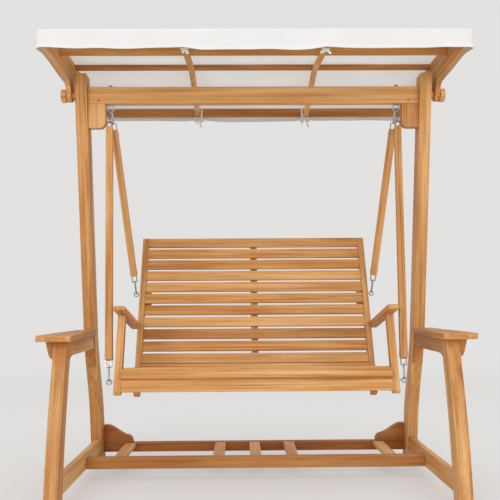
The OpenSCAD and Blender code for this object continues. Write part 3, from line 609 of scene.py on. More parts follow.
# quarter arches under the apron: a corner whose free edge is a quarter of an ellipse, which
# starts a foot's width off the leg or post
def archBrackets():
    low, high = apronBottom - bracket["fall"], apronBottom - hairline
    a = np.linspace(0, np.pi / 2, 15)
    z = np.minimum(low + bracket["fall"] * np.sin(a), high)
    edgeZ = np.linspace(low, high, 6)
    atLeg = float(legRear(low)) + bracket["legFoot"] + bracket["legReach"] * (1 - np.cos(a))
    atPost = float(postFront(apronBottom)) + bracket["postFoot"]
    atPost = atPost - bracket["postReach"] * (1 - np.cos(a))
    parts = []
    for arc, edge, lean in ((atLeg, legRear, 1), (atPost, postFront, -1)):
        outline = np.concatenate([np.stack([arc, z], 1), np.stack([edge(edgeZ), edgeZ], 1)[::-1]])
        parts += bothSides(outline, railIn, railOut, (0, lean, 1), radius=1.5, ease=1.8)
    return parts


makePiece("archBrackets", redShadeTeak, "stand", ["apron_brackets"], archBrackets())

shelfKnee = {"out": 39.0, "fall": 78.0, "thick": 36.0, "foot": 8.0, "setForward": 9.0,
             "round": 0.58, "roundEnd": 0.35, "widenFrom": 0.2}


# a knee outside the leg: its edge swells in a quarter round, then widens evenly to the shelf
def kneeOutline():
    t = np.linspace(0, 1, 17)
    curl = np.sqrt(1 - (1 - np.minimum(1, t / shelfKnee["roundEnd"])) ** 2)
    widen = np.maximum(0, (t - shelfKnee["widenFrom"]) / (1 - shelfKnee["widenFrom"]))
    swell = shelfKnee["round"] * curl + (1 - shelfKnee["round"]) * widen
    x = half + shelfKnee["foot"] + (shelfKnee["out"] - shelfKnee["foot"]) * swell
    top = shelfBottom - hairline
    z = top - shelfKnee["fall"] * (1 - t)
    back = half + hairline / 2
    return np.concatenate([[[back, top], [back, shelfBottom - shelfKnee["fall"]]],
                           np.stack([x, z], 1)])


kneeY = float(legFront(shelfBottom)) + leg["depth"] / 2 - shelfKnee["setForward"]
makePiece("shelfKnees", redShadeTeak, "stand", ["shelf_knees"],
          mirrored(kneeOutline(), kneeY - shelfKnee["thick"] / 2,
                   kneeY + shelfKnee["thick"] / 2, alongZ))
print("side frames made")

stretcher = {"low": 39.0, "high": 92.0, "frontY": -56.0, "rearY": 337.0, "thick": 42.0,
             "rearLow": 36.0, "rearHigh": 84.0}


# a straight timber: the rectangle in Y and Z, run along X
def bar(x0, x1, y0, y1, z0, z1, along, face, **more):
    return board([[y0, z0], [y1, z0], [y1, z1], [y0, z1]], x0, x1, acrossAxes, along, face, **more)


makePiece("frontStretcher", redShadeTeak, "stand", ["front_stretcher"],
          [bar(-railIn, railIn, stretcher["frontY"], stretcher["frontY"] + stretcher["thick"],
               stretcher["low"], stretcher["high"], alongX, alongY, radius=4)])
# the rear stretcher takes the darkest copy of teak: painted shade
makePiece("rearStretcher", darkShadeTeak, "stand", ["rear_stretcher"],
          [bar(-inner, inner, stretcher["rearY"], stretcher["rearY"] + stretcher["thick"],
               stretcher["rearLow"], stretcher["rearHigh"], alongX, alongY, radius=4)])

stretcherKnee = {"height": 92.0, "length": 150.0, "thick": 38.0, "setBack": 2.0, "nose": 0.41,
                 "noseEnd": 0.18, "waveFrom": 0.12, "waveOver": 0.8}


# ogee knee: a quarter round nose, then a long S that ends at full height by the post
def ogeeOutline():
    t = (np.linspace(0, 1, 41)) ** 1.6
    nose = np.sqrt(1 - (1 - np.minimum(1, t / stretcherKnee["noseEnd"])) ** 2)
    wave = smooth((t - stretcherKnee["waveFrom"]) / stretcherKnee["waveOver"])
    rise = stretcherKnee["nose"] * nose + (1 - stretcherKnee["nose"]) * wave
    curve = np.stack([inner - stretcherKnee["length"] * (1 - t),
                      stretcher["rearHigh"] + stretcherKnee["height"] * rise], 1)
    return np.concatenate([[[inner, stretcher["rearHigh"] + hairline / 2]], curve])


kneeBack = stretcher["rearY"] + stretcherKnee["setBack"]
makePiece("stretcherKnees", darkShadeTeak, "stand", ["stretcher_knees"],
          mirrored(ogeeOutline(), kneeBack, kneeBack + stretcherKnee["thick"], alongX))

baseSlat = {"width": 54.0, "pitch": 177.0, "outer": 644.0, "thick": 20.0, "top": 83.0}
slatStart = stretcher["frontY"] + stretcher["thick"]
makePiece("baseSlats", teak, "stand", ["base_slats"],
          [bar(x - baseSlat["width"] / 2, x + baseSlat["width"] / 2, slatStart, stretcher["rearY"],
               baseSlat["top"] - baseSlat["thick"], baseSlat["top"], alongY, alongZ, tone=0.8)
           for x in (-baseSlat["outer"], -baseSlat["pitch"], 0, baseSlat["pitch"],
                     baseSlat["outer"])])

beam = {"low": 1750.0, "high": 1829.0, "thick": 43.0, "y": 19.0, "bracketWidth": 81.0,
        "bracketDrop": 114.0, "bracketThick": 38.0, "bracketTurn": 27.0}
# tone=1.5 lightens the beam's colour: painted light, against the shade the canopy casts on its front
makePiece("topBeam", teak, "stand", ["top_beam"],
          [bar(-inner, inner, beam["y"] - beam["thick"] / 2, beam["y"] + beam["thick"] / 2,
               beam["low"], beam["high"], alongX, alongY, radius=4, tone=1.5)])


# a block under the beam whose lower inner corner is scooped out by a quarter circle
def beamBracketOutline():
    a = np.linspace(0, np.pi / 2, 13)
    turn, edge = beam["bracketTurn"], inner - beam["bracketWidth"]
    top, low = beam["low"] - hairline / 2, beam["low"] - beam["bracketDrop"]
    scoop = np.stack([edge + turn * (1 - np.cos(a)), low + turn * (1 - np.sin(a))], 1)
    return np.concatenate([[[inner, top], [edge, top]], scoop, [[inner, low]]])


makePiece("beamBrackets", teak, "stand", ["beam_brackets"],
          mirrored(beamBracketOutline(), beam["y"] - beam["bracketThick"] / 2,
                   beam["y"] + beam["bracketThick"] / 2, alongZ, tone=0.3))
print("base and beam made")

canopy = {
    "pivotY": 19.0, "pivotZ": 1791.0, "middleY": 79.0, "halfLength": 516.0, "rise": 46.0,
    "end": 1916.0, "boardLow": 1840.0, "inner": 858.0, "outer": 882.0, "earRadius": 29.0,
    "shoulder": 78.0, "neck": 44.0, "neckDrop": 14.0, "lean": 2.0, "railThick": 24.0,
    "railLow": 1938.0, "railFall": 77.8, "railBend": 1.22, "railUnder": 1.0, "endRailUnder": 13.0,
    "rails": (-502.0, -287.0, 0.0, 287.0, 502.0), "lathX": 297.0, "lathWidth": 28.0,
    "lathThick": 9.0, "lathShort": 2.0, "lathGap": 0.3,
}
archRadius = (canopy["halfLength"] ** 2 + canopy["rise"] ** 2) / (2 * canopy["rise"])
canopyPivot = np.array([0, canopy["pivotY"], canopy["pivotZ"]])


# height of the side boards' top edge: a circular arc through both ends
def archHeight(d):
    d = np.clip(np.asarray(d, float), -canopy["halfLength"], canopy["halfLength"])
    return canopy["end"] + canopy["rise"] - archRadius + np.sqrt(archRadius ** 2 - d ** 2)


# underside of a cross rail: low - fall * share^bend, the share of the way to the end rail
def railBottom(d):
    share = np.abs(np.asarray(d, float)) / canopy["rails"][-1]
    return canopy["railLow"] - canopy["railFall"] * share ** canopy["railBend"]


# turns points of the level canopy back about its pivot
def lean(place, pivot=canopyPivot):
    turn = aboutX(math.radians(-canopy["lean"]))
    return (np.asarray(place, float) - pivot) @ turn.T + pivot


# the parts leaned; a normal is a direction, so it turns about the origin
def leaned(parts):
    for p in parts:
        p["place"] = lean(p["place"])
        p["normal"] = lean(p["normal"], np.zeros(3))
    return parts


# side board: arched top, level foot, and a rounded ear that hangs down round the pivot bolt
def sideBoardOutline():
    y0, reach, low = canopy["middleY"], canopy["halfLength"], canopy["boardLow"]
    d = np.linspace(-reach, reach, 49)
    top = np.stack([y0 + d, archHeight(d)], 1)
    a = np.radians(np.linspace(0, -180, 25))
    pivot, shoulder, neck = canopy["pivotY"], canopy["shoulder"], canopy["neck"]
    neckZ = low - canopy["neckDrop"]
    ear = np.stack([pivot + canopy["earRadius"] * np.cos(a),
                    canopy["pivotZ"] + canopy["earRadius"] * np.sin(a)], 1)
    return np.concatenate([top, [[y0 + reach, low], [pivot + shoulder, low],
                                 [pivot + neck, neckZ]],
                           ear, [[pivot - neck, neckZ], [pivot - shoulder, low],
                                 [y0 - reach, low]]])


makePiece("canopySideBoards", teak, "canopy", ["canopy_side_boards"],
          leaned(bothSides(sideBoardOutline(), canopy["inner"], canopy["outer"], alongY,
                           radius=5)))


# cross rails: each reaches up to a little under the arch, the two at the ends stay lower
def canopyRailParts():
    parts = []
    grow = canopy["railThick"] / 2
    first, last = canopy["rails"][0], canopy["rails"][-1]
    for d in canopy["rails"]:
        y = canopy["middleY"] + d
        under = canopy["endRailUnder"] if d in (first, last) else canopy["railUnder"]
        high = float(min(archHeight(d - grow), archHeight(d + grow))) - under
        parts.append(bar(-canopy["inner"], canopy["inner"], y - grow, y + grow,
                         float(railBottom(d)), high, alongX, alongY, ease=2,
                         tone=0.8 if d == first else 0.2))
    return parts


makePiece("canopyRails", redShadeTeak, "canopy", ["canopy_rails"], leaned(canopyRailParts()))


# laths bent under the rails: the same curve as the rails' undersides, a lath's thickness deep
def lathOutline():
    reach = canopy["halfLength"] - canopy["lathShort"]
    d = np.linspace(-reach, reach, 49)
    top = railBottom(np.abs(d) + canopy["railThick"] / 2) - canopy["lathGap"]
    y = canopy["middleY"] + d
    return np.concatenate([np.stack([y, top], 1),
                           np.stack([y, top - canopy["lathThick"]], 1)[::-1]])


# tone=1.6 lightens the laths, which lie in shade under the cover: painted light
makePiece("canopyLaths", teak, "canopy", ["canopy_battens"],
          leaned([board(lathOutline(), s * canopy["lathX"] - canopy["lathWidth"] / 2,
                        s * canopy["lathX"] + canopy["lathWidth"] / 2, acrossAxes, alongY, alongZ,
                        ease=1.5, radius=2, tone=1.6) for s in bothWays]))
print("canopy frame made")

# The hem hangs lower between the ties by drop, rises to the rear by rearLift and along the
# sides by sideLift, where sideDraw pulls it to the boards and calm is how much its folds fade.
# A wave or fold is given as its height, its length / 2 pi and its start, a ripple as its share
# of the sag and its lengths / 2 pi in X and Y. The counts at the end are rows and columns.
cover = {
    "halfWidth": 904.0, "halfLength": 522.0, "corner": 23.0, "roll": 9.0, "cornerRoll": 8.0,
    "cornerReach": 60.0, "hem": 1839.0, "drop": 9.0, "rearLift": 8.0, "sideLift": 9.0,
    "sideDraw": 5.0, "sideReach": 110.0, "calm": 0.8, "tieReach": 45.0, "tiePull": 3.0,
    "outerSlack": 0.35, "slackReach": 120.0, "hemWaves": ((1.2, 61, 0), (0.9, 37, 1)),
    "folds": ((1.6, 83, 0.6), (1.3, 47, 2), (1.0, 29, 0)), "foldReach": 140.0, "turnIn": 1.5,
    "cornerOut": 2.5, "bow": 2.2, "above": 1.8, "sag": 12.0, "bayMargin": 14.0,
    "ripples": ((0.18, 71, 160), (0.12, 33, -90)), "heldEdge": 6.0, "freeOver": 150.0,
    "rearDip": 9.0, "dipFrom": 60.0, "dipOver": 150.0, "thick": 0.0012, "frontThick": 0.45,
    "rearThin": 0.25, "topThin": 0.15, "lastShrink": 0.9985, "around": 520, "valanceRows": 22,
    "rollRows": 5, "topRows": 62,
}


# waves along s added up, each height * sin(s / length + start)
def wavesAlong(s, waves):
    return sum(height * np.sin(s / length + start) for height, length, start in waves)


# Plan of the cover, a rounded rectangle walked from the left end of its front edge: the way
# walked, the point, and the direction outwards. Even stretches are straight, odd ones arcs.
def coverRim():
    a, b, r = cover["halfWidth"], cover["halfLength"], cover["corner"]
    lengths = np.array([2 * (a - r), np.pi / 2 * r, 2 * (b - r), np.pi / 2 * r] * 2)
    s = np.linspace(0, lengths.sum(), cover["around"], endpoint=False)
    edges = np.concatenate([[0], np.cumsum(lengths)])
    piece = np.searchsorted(edges, s, "right") - 1
    t = (s - edges[piece]) / lengths[piece]
    arc = piece % 2 == 1
    turns = np.array([-90, -90, 0, 0, 90, 90, 180, 180])[piece] + np.where(arc, 90 * t, 0)
    out = np.stack([np.cos(np.radians(turns)), np.sin(np.radians(turns))], 1)
    cornerX = np.array([0, a - r, 0, a - r, 0, r - a, 0, r - a])[piece]
    cornerY = np.array([0, r - b, 0, b - r, 0, b - r, 0, r - b])[piece]
    straight = [piece == 0, piece == 2, piece == 4, piece == 6]
    runX = np.select(straight, [(2 * t - 1) * (a - r), a + 0 * t, (1 - 2 * t) * (a - r), -a + 0 * t])
    runY = np.select(straight, [-b + 0 * t, (2 * t - 1) * (b - r), b + 0 * t, (1 - 2 * t) * (b - r)])
    x = np.where(arc, cornerX + r * out[:, 0], runX)
    y = np.where(arc, cornerY + r * out[:, 1], runY)
    return s, x, y, out


# top of the cover over x and the distance d from its middle: the arch, less a parabola of sag
# in each bay between two rails, rippled by two slow waves, and a dip in the rear bay
def topHeight(x, d):
    rails = np.array(canopy["rails"])
    bay = np.clip(np.searchsorted(rails, d) - 1, 0, len(rails) - 2)
    margin = cover["bayMargin"]
    f = (d - rails[bay] - margin) / (rails[bay + 1] - rails[bay] - 2 * margin)
    hang = 4 * np.clip(f, 0, 1) * (1 - np.clip(f, 0, 1))
    free = smooth((canopy["inner"] - cover["heldEdge"] - np.abs(x)) / cover["freeOver"])
    ripple = sum((share * np.sin(x / wide + d / deep)
                  for share, wide, deep in cover["ripples"]), 1.0)
    dip = cover["rearDip"] * smooth((d - rails[-2] - cover["dipFrom"]) / cover["dipOver"]) * free
    return archHeight(d) + cover["above"] - cover["sag"] * hang * free * ripple - dip


# height of the hem: drawn up at the ties, slack between them, straight along the sides
def hemHeight(s, x, y, onEnd, tie, calm):
    a, b = cover["halfWidth"], cover["halfLength"]
    slack = np.where(np.abs(x) < canopy["lathX"], 1.0, cover["outerSlack"]) * (1 - tie)
    ease = smooth((a - np.abs(x)) / cover["slackReach"])
    hem = cover["hem"] - np.where(onEnd, cover["drop"] * slack * ease, 0)
    hem = hem + cover["rearLift"] * (y + b) / (2 * b)
    waves = wavesAlong(s, cover["hemWaves"]) * (1 - cover["calm"] * calm)
    return hem + waves + cover["sideLift"] * calm


# how far each row of the valance stands out: slow folds that fade upwards, strongest by the
# corners, a hem that turns in, a pull at each tie, and a bow over the height
def valancePush(s, x, y, up, onEnd, tie, calm, atCorner):
    inward = np.minimum(cover["halfWidth"] - np.abs(x), cover["halfLength"] - np.abs(y))
    near = np.exp(-inward / cover["foldReach"])
    folds = wavesAlong(s, cover["folds"]) * (1 - cover["calm"] * calm) - cover["sideDraw"] * calm
    bow = np.sin(np.pi * np.minimum(1, up * 1.1)) * cover["bow"]
    push = (folds * (1 - up) * (0.5 + near) - cover["turnIn"] * (1 - up) ** 2
            - cover["tiePull"] * tie * (1 - up) * onEnd + bow)
    return push + cover["cornerOut"] * atCorner * (1 - up)


# Cover of canvas as one sheet, a grid of rows from the hem in to the middle and columns round
# the rim. Rows climb the valance, turn over a quarter round, then shrink towards the middle.
def coverGrid():
    a, b = cover["halfWidth"], cover["halfLength"]
    s, x, y, out = coverRim()
    onEnd = np.abs(out[:, 1]) > 0.7
    atCorner = np.exp(-(np.hypot(a - np.abs(x), b - np.abs(y)) / cover["cornerReach"]) ** 2)
    tie = np.exp(-((np.abs(x) - canopy["lathX"]) / cover["tieReach"]) ** 2)
    calm = np.where(onEnd, 0, smooth((b - np.abs(y)) / cover["sideReach"]))
    roll = cover["roll"] + cover["cornerRoll"] * atCorner
    edge = topHeight(x - out[:, 0] * roll, y - out[:, 1] * roll)
    hem = hemHeight(s, x, y, onEnd, tie, calm)
    up = np.linspace(0, 1, cover["valanceRows"])[:, None]
    push = valancePush(s, x, y, up, onEnd, tie, calm, atCorner)
    fall = hem + (edge - roll - hem) * up
    turn = np.linspace(0, np.pi / 2, cover["rollRows"] + 1)[1:, None]
    push = np.concatenate([push, push[-1] * np.cos(turn) - roll * (1 - np.cos(turn))])
    fall = np.concatenate([fall, edge - roll * (1 - np.sin(turn))])
    rim = np.stack([x + out[:, 0] * push, y + out[:, 1] * push, fall], 2)
    shrink = np.append(np.linspace(0, 1, cover["topRows"] + 1)[1:-1], cover["lastShrink"])[:, None]
    topX, topY = rim[-1, :, 0] * (1 - shrink), rim[-1, :, 1] * (1 - shrink)
    return np.concatenate([rim, np.stack([topX, topY, topHeight(topX, topY)], 2)]), s, out


# The cloth attribute: on the valance the way round and the way up from the hem, on the top the
# plan itself, moved past every hem; then how thin the cloth is.
def clothPlace(grid, s, out):
    climbed = np.linalg.norm(np.diff(grid, axis=0), axis=2).cumsum(0)
    climbed = np.concatenate([np.zeros((1, len(s))), climbed])
    cloth = np.stack([np.broadcast_to(s, climbed.shape), climbed, np.ones_like(climbed)], 2)
    tops = cover["valanceRows"] + cover["rollRows"]
    cloth[tops:, :, 0] = grid[tops:, :, 0]
    cloth[tops:, :, 1] = grid[tops:, :, 1] + 2000
    cloth[:tops, :, 2] += (cover["rearThin"] * smooth(out[:, 1] * 2)
                           - cover["frontThick"] * smooth(-out[:, 1] * 2))
    cloth[tops:, :, 2] += cover["topThin"]
    cloth[..., 2] /= mm
    return cloth


# the cover in its leaning place, with the cloth's thickness inwards
def makeCover():
    grid, s, out = coverGrid()
    cloth = clothPlace(grid, s, out)
    rows, columns = grid.shape[:2]
    place = lean(grid.reshape(-1, 3) + [0, canopy["middleY"], 0])
    part = {"place": place, "quads": gridQuads(rows, columns),
            "caps": [np.arange(columns) + (rows - 1) * columns], "cloth": cloth.reshape(-1, 3) * mm}
    piece = makePiece("canopyCover", canvas, "canopy", ["canopy_cover"],
                      [part], shade=False)
    skin = piece.modifiers.new("thickness", "SOLIDIFY")
    skin.thickness = cover["thick"]
    skin.offset = -1
    return piece


coverPiece = makeCover()

# tieSizes are for the front (-1) and the rear (1): the loops' width and the tails' lengths
tapes = {"width": 9.0, "thick": 0.9, "wrap": 15.0, "wrapThick": 1.2, "fromMiddle": 480.0,
         "runs": ((-20, 0), (22, -34)), "knot": 7.0}
tieSizes = {-1: {"loop": 10.0, "tails": (12.0, 18.0)}, 1: {"loop": 24.0, "tails": (32.0, 50.0)}}


# a flat closed curve: cosine to the power 0.35 for its width, sine for its thickness
def ribbonProfile(width, thick):
    a = np.linspace(0, 2 * np.pi, 16, endpoint=False)
    return np.stack([width / 2 * softPower(np.cos(a), 0.35), thick / 2 * np.sin(a)], 1)


# A tape tied round the end of a lath: a wide wrap round the lath, a small knot, two drooping
# loops and two tails of unlike length. Each is a flat ribbon carried along a curve.
def tieParts(x, y, z, end, side):
    t = np.linspace(0, 1, 25)
    ring = np.linspace(0, 2 * np.pi, 33)[:-1]
    loopSize, tails = tieSizes[end]["loop"], tieSizes[end]["tails"]
    narrow = ribbonProfile(tapes["width"], tapes["thick"])
    w, h = canopy["lathWidth"] / 2 + 2.0, canopy["lathThick"] / 2 + 7
    wrap = np.stack([x + w * softPower(np.cos(ring), 0.45), y + 1.5 * np.sin(ring),
                     z + h + h * softPower(np.sin(ring), 0.45)], 1)
    outward = wrap - wrap.mean(0)
    outward[:, 1] = 0
    parts = [carried(np.concatenate([wrap, wrap[:2]]),
                     ribbonProfile(tapes["wrap"], tapes["wrapThick"]),
                     np.concatenate([outward, outward[:2]]))]
    # two runs of tape from the edge of the cover down the inner face of the rail to the lath
    railFace = canopy["middleY"] + end * (canopy["rails"][-1] - canopy["railThick"] / 2 - 1.2)
    lift = float(archHeight(canopy["rails"][-1])) - 6 - z
    for shift, move in tapes["runs"]:
        run = np.stack([x + side * (shift + move * smooth(t)), railFace + 0 * t - 1.5 * end * t,
                        z + lift * (1 - t)], 1)
        parts.append(carried(run, narrow, alongY))
    knotX, knotY, knotZ = x - 5 * side, y - 3, z - 3
    knot = np.stack([knotX - 5 + 10 * t, knotY + 0 * t, knotZ + 0 * t], 1)
    parts.append(carried(knot, ribbonProfile(tapes["knot"], tapes["knot"]), alongZ,
                         0.75 + 0.25 * np.sin(np.pi * t)))
    a = 2 * np.pi * t
    for s, tail in zip(bothWays, tails):
        loop = np.stack([knotX + s * loopSize * 0.5 * (1 - np.cos(a)),
                         knotY - 3 * np.sin(a / 2) + 1.5 * np.sin(a),
                         knotZ - 0.6 * loopSize * np.sin(a / 2) ** 2
                         - 0.28 * loopSize * np.sin(a)], 1)
        parts.append(carried(loop, narrow, alongY))
        aside = s * (3 + (14 + 5 * side) * t ** 1.4)
        hung = np.stack([knotX + aside, knotY - 2 * np.sin(3.5 * t) - 2 * t,
                         knotZ - 1 - tail * t + 3 * np.sin(np.pi * t) * s], 1)
        parts.append(carried(hung, narrow, np.array([0.35 * s, 1, 0.15])))
    return parts


# four ties, one at each end of both laths
def makeTies():
    lathTop = float(railBottom(canopy["rails"][-1] + canopy["railThick"] / 2)) - canopy["lathGap"]
    low = lathTop - canopy["lathThick"] - tapes["wrapThick"]
    parts = []
    for s in bothWays:
        for e in bothWays:
            parts += tieParts(s * canopy["lathX"], canopy["middleY"] + e * tapes["fromMiddle"],
                              low, e, s)
    return makePiece("tieTapes", tapeCanvas, "canopy", ["tie_tapes"], leaned(parts))


tiePiece = makeTies()
print("cover made")

knob = {"from": 884.6, "thick": 25.0, "radius": 31.0, "rim": 5.0, "foot": 2.0, "grooves": 12,
        "depth": 0.13}


# turned knob: cylinder with a rounded rim and a shallow dish in its face
def makeKnob(side, name, node, body):
    r, w, rim, foot = knob["radius"], knob["thick"], knob["rim"], knob["foot"]
    a = np.linspace(0, np.pi / 2, 7)
    stations = np.concatenate([[0, 0, 0.4], foot - 1.6 * np.cos(a[1:]), w - rim + rim * np.sin(a),
                               [w - 0.2, w - 0.8, w - 1.6, w - 1.9]])
    radii = np.concatenate([[6, r - 4, r - 2.4], r - foot + foot * np.sin(a[1:]),
                            r - rim + rim * np.cos(a), [r - 9, r - 14, r - 20, 1.0]])
    part = turned(stations, radii, (side * knob["from"], canopy["pivotY"], canopy["pivotZ"]),
                  (side, 0, 0), knob["grooves"], knob["depth"], 144, tone=-0.2)
    makePiece(name, teak, body, [node], [part])


makeKnob(-1, "clampKnobLeft", "clamp_knob_left", "knob_left")
makeKnob(1, "clampKnobRight", "clamp_knob_right", "knob_right")

spacer = {"halfLength": 10.2, "middle": 13.6, "halfWall": 8.4}


# a collar between post and canopy: a rounded rectangle turned round the pivot
def spacerPart(side):
    a = np.linspace(0, 2 * np.pi, 25)[:-1][::-1]
    stations = spacer["halfLength"] * (1 + softPower(np.cos(a), 0.3))
    radii = spacer["middle"] + spacer["halfWall"] * softPower(np.sin(a), 0.3)
    return turned(stations, radii, (side * half, canopy["pivotY"], canopy["pivotZ"]),
                  (side, 0, 0), ring=True)


makePiece("pivotSpacers", redShadeTeak, "stand", ["pivot_spacers"], [spacerPart(s) for s in bothWays])
print("knobs made")

# pairs are places in Y and Z; stileLength and each slat's start are measured up the stile
bench = {
    "half": 609.0, "ledge": 5.0, "postWidth": 31.0, "stileWidth": 28.0,
    "armFoot": (-379.0, 420.0), "armSlope": 0.40, "armDepth": 46.0, "armCorner": 20.0,
    "armTrim": (6.0, 10.0), "armrest": (-333.0, 799.0), "armrestAngle": 11.0,
    "armrestLength": 508.0, "armrestWidth": 49.0, "armrestThick": 23.0,
    "seat": (-127.0, 931.0), "seatRadius": 440.0, "seatFirst": -23.0, "seatStep": 7.3,
    "seatCount": 6, "seatWidth": 43.0, "seatThick": 16.0, "seatShort": 1.0,
    "nose": (-352.0, 509.4), "noseAngle": 55.0, "noseWidth": 44.0, "noseThick": 15.0,
    "rail": (-375.0, 434.0), "railHeight": 52.0, "railThick": 21.0,
    "stileFoot": (-32.0, 382.0), "backAngle": 25.96, "stileLength": 853.0, "stileDepth": 47.0,
    "topTrim": (10.0, 8.0), "footTrim": (12.0, 10.0),
    "slatStart": 157.0, "slatPitch": 64.3, "slatHeight": 52.0, "slatThick": 16.0, "slatSet": 6.0,
    "slatTones": (0.2, -0.45, -0.5, 0.6, 0.0, -0.1, 0.6, 0.1, 0.2, 0.1, 0.25),
    "rearStart": 124.0, "rearHeight": 31.0, "rearThick": 24.0,
    "battenHalf": 17.0, "battenThick": 18.0, "battenShort": 14.0,
    "blockWidth": 30.0, "blockHeight": 84.0, "blockBelow": 62.0, "blockThick": 22.0,
    "eyeHeight": 852.0,
}
armOuter = bench["half"] - bench["ledge"]
postFace = armOuter - bench["postWidth"]
stileInner = postFace - bench["stileWidth"]
tilt = math.radians(bench["backAngle"])
upStile = np.array([math.sin(tilt), math.cos(tilt)])
behindStile = np.array([math.cos(tilt), -math.sin(tilt)])


# a point s up the stile and d behind its front face
def onStile(s, d):
    return np.asarray(bench["stileFoot"]) + s * upStile + d * behindStile


# a point on the seat's arc, the angle in degrees from straight down
def onSeat(angle, radius):
    a = np.radians(angle)
    y, z = bench["seat"]
    return np.stack([y + radius * np.sin(a), z - radius * np.cos(a)], -1)


# a direction in Y and Z as one in space
def inAcross(direction):
    return np.array([0, direction[0], direction[1]])


# turns an outline by an angle in degrees, which lifts its rear end, and moves it
def turnedOutline(local, angle, place):
    a = math.radians(angle)
    turn = np.array([[math.cos(a), math.sin(a)], [-math.sin(a), math.cos(a)]])
    return local @ turn + np.asarray(place)


# arm post: leans back by slope, its foot has a rounded heel in front, and its top is cut along
# the underside of the armrest, where height = fall * way back meets y = y0 + slope * height
def armPostOutline():
    y0, z0 = bench["armFoot"]
    corner, depth, slope = bench["armCorner"], bench["armDepth"], bench["armSlope"]
    a = np.linspace(0, np.pi / 2, 9)
    heel = np.stack([y0 + slope * corner + 0.6 * corner * (1 - np.cos(a)),
                     z0 + corner * (1 - np.sin(a))], 1)
    angle = math.radians(bench["armrestAngle"])
    fall = math.tan(angle)
    fy, fz = bench["armrest"]
    fz = fz - bench["armrestThick"] / math.cos(angle) - hairline / 2
    front, rear = [(fz - fall * (y0 + back - fy) + fall * slope * z0) / (1 + fall * slope)
                   for back in (0, depth)]
    trimY, trimZ = bench["armTrim"]
    return np.concatenate([heel, [[y0 + depth - trimY, z0],
                                  [y0 + slope * trimZ + depth, z0 + trimZ],
                                  [y0 + slope * (rear - z0) + depth, rear],
                                  [y0 + slope * (front - z0), front]]])


makePiece("armPosts", teak, "bench", ["arm_posts"],
          bothSides(armPostOutline(), postFace, armOuter,
                    (0, bench["armSlope"], 1), radius=4, ease=3))


# armrest: a straight board that falls to the rear, its front end half round
def armrestOutline():
    length, r = bench["armrestLength"], bench["armrestThick"] / 2
    b = np.radians(np.linspace(90, 270, 11))
    nose = np.stack([r + r * np.cos(b), -r + r * np.sin(b)], 1)
    local = np.concatenate([nose, [[length, -2 * r], [length, 0]]])
    return turnedOutline(local, -bench["armrestAngle"], bench["armrest"])


makePiece("armrests", teak, "bench", ["armrests"],
          bothSides(armrestOutline(), bench["half"] - bench["armrestWidth"], bench["half"],
                    (0, 0.98, -0.19), alongZ, ease=5, radius=4, tone=0.4))

stileEnd, stileBack = bench["stileLength"], bench["stileDepth"]
topCut, topDeep = bench["topTrim"]
footCut, footDeep = bench["footTrim"]
stileOutline = np.array([onStile(s, d) for s, d in (
    (0, 0), (stileEnd - topCut, 0), (stileEnd, topDeep), (stileEnd, stileBack - topDeep),
    (stileEnd - topCut, stileBack), (footCut, stileBack), (0, stileBack - footDeep))])
makePiece("backStiles", teak, "bench", ["back_stiles"],
          bothSides(stileOutline, stileInner, postFace, inAcross(upStile), radius=6))


# a slat between the stiles: start up the stile, front d0 to back d1 behind its front face
def slatAt(start, height, d0, d1, x0, x1, along=alongX, **more):
    outline = [onStile(start, d0), onStile(start, d1), onStile(start + height, d1),
               onStile(start + height, d0)]
    return board(outline, x0, x1, acrossAxes, along, inAcross(behindStile), **more)


slatFront, slatBack = bench["slatSet"], bench["slatSet"] + bench["slatThick"]
onSlats = slatBack + hairline / 10
makePiece("backSlats", teak, "bench", ["back_slats"],
          [slatAt(bench["slatStart"] + i * bench["slatPitch"], bench["slatHeight"], slatFront,
                  slatBack, -stileInner, stileInner, radius=5, ease=0.8, tone=tone)
           for i, tone in enumerate(bench["slatTones"])])
makePiece("rearSeatSlat", teak, "bench", ["rear_seat_slat"],
          [slatAt(bench["rearStart"], bench["rearHeight"], slatFront,
                  slatFront + bench["rearThick"], -stileInner, stileInner, radius=4, ease=0.8)])
battenStart = bench["rearStart"] + bench["rearHeight"] + 2
makePiece("centreBatten", redShadeTeak, "bench", ["centre_batten"],
          [slatAt(battenStart, stileEnd - bench["battenShort"] - battenStart, onSlats,
                  slatBack + bench["battenThick"], -bench["battenHalf"], bench["battenHalf"],
                  inAcross(upStile))])
blockStart = (bench["eyeHeight"] - bench["stileFoot"][1]) / math.cos(tilt) - bench["blockBelow"]
blockInner = stileInner - bench["blockWidth"]
blockBack = slatBack + bench["blockThick"]
makePiece("eyeBlocks", redShadeTeak, "bench", ["eye_blocks"],
          [slatAt(blockStart, bench["blockHeight"], onSlats, blockBack, x0, x1, inAcross(upStile))
           for x0, x1 in ((blockInner, stileInner), (-stileInner, -blockInner))])

railY, railZ = bench["rail"]
railTop = railZ + bench["railHeight"]
railLean = bench["armSlope"] * bench["railHeight"]
frontRail = [[railY, railZ], [railY + bench["railThick"], railZ],
             [railY + bench["railThick"] + railLean, railTop], [railY + railLean, railTop]]
makePiece("frontRail", teak, "bench", ["front_rail"],
          [board(frontRail, -postFace, postFace, acrossAxes, alongX, alongY,
                 radius=4, ease=0.8, tone=0.1)])


# the slat at the edge of the seat: flat at the back, its front half round
def noseOutline():
    r, w = bench["noseThick"] / 2, bench["noseWidth"] / 2
    b = np.radians(np.linspace(-90, 90, 11))
    front = np.stack([w - r + r * np.cos(b), r * np.sin(b)], 1)
    local = np.concatenate([[[-w, -r]], front, [[-w, r]]])
    return turnedOutline(local, bench["noseAngle"], bench["nose"])


makePiece("noseSlat", teak, "bench", ["nose_slat"],
          [board(noseOutline(), -postFace, postFace, acrossAxes, alongX, (0, 0.8, -0.6), radius=2,
                 ease=0.8, tone=0.5)])


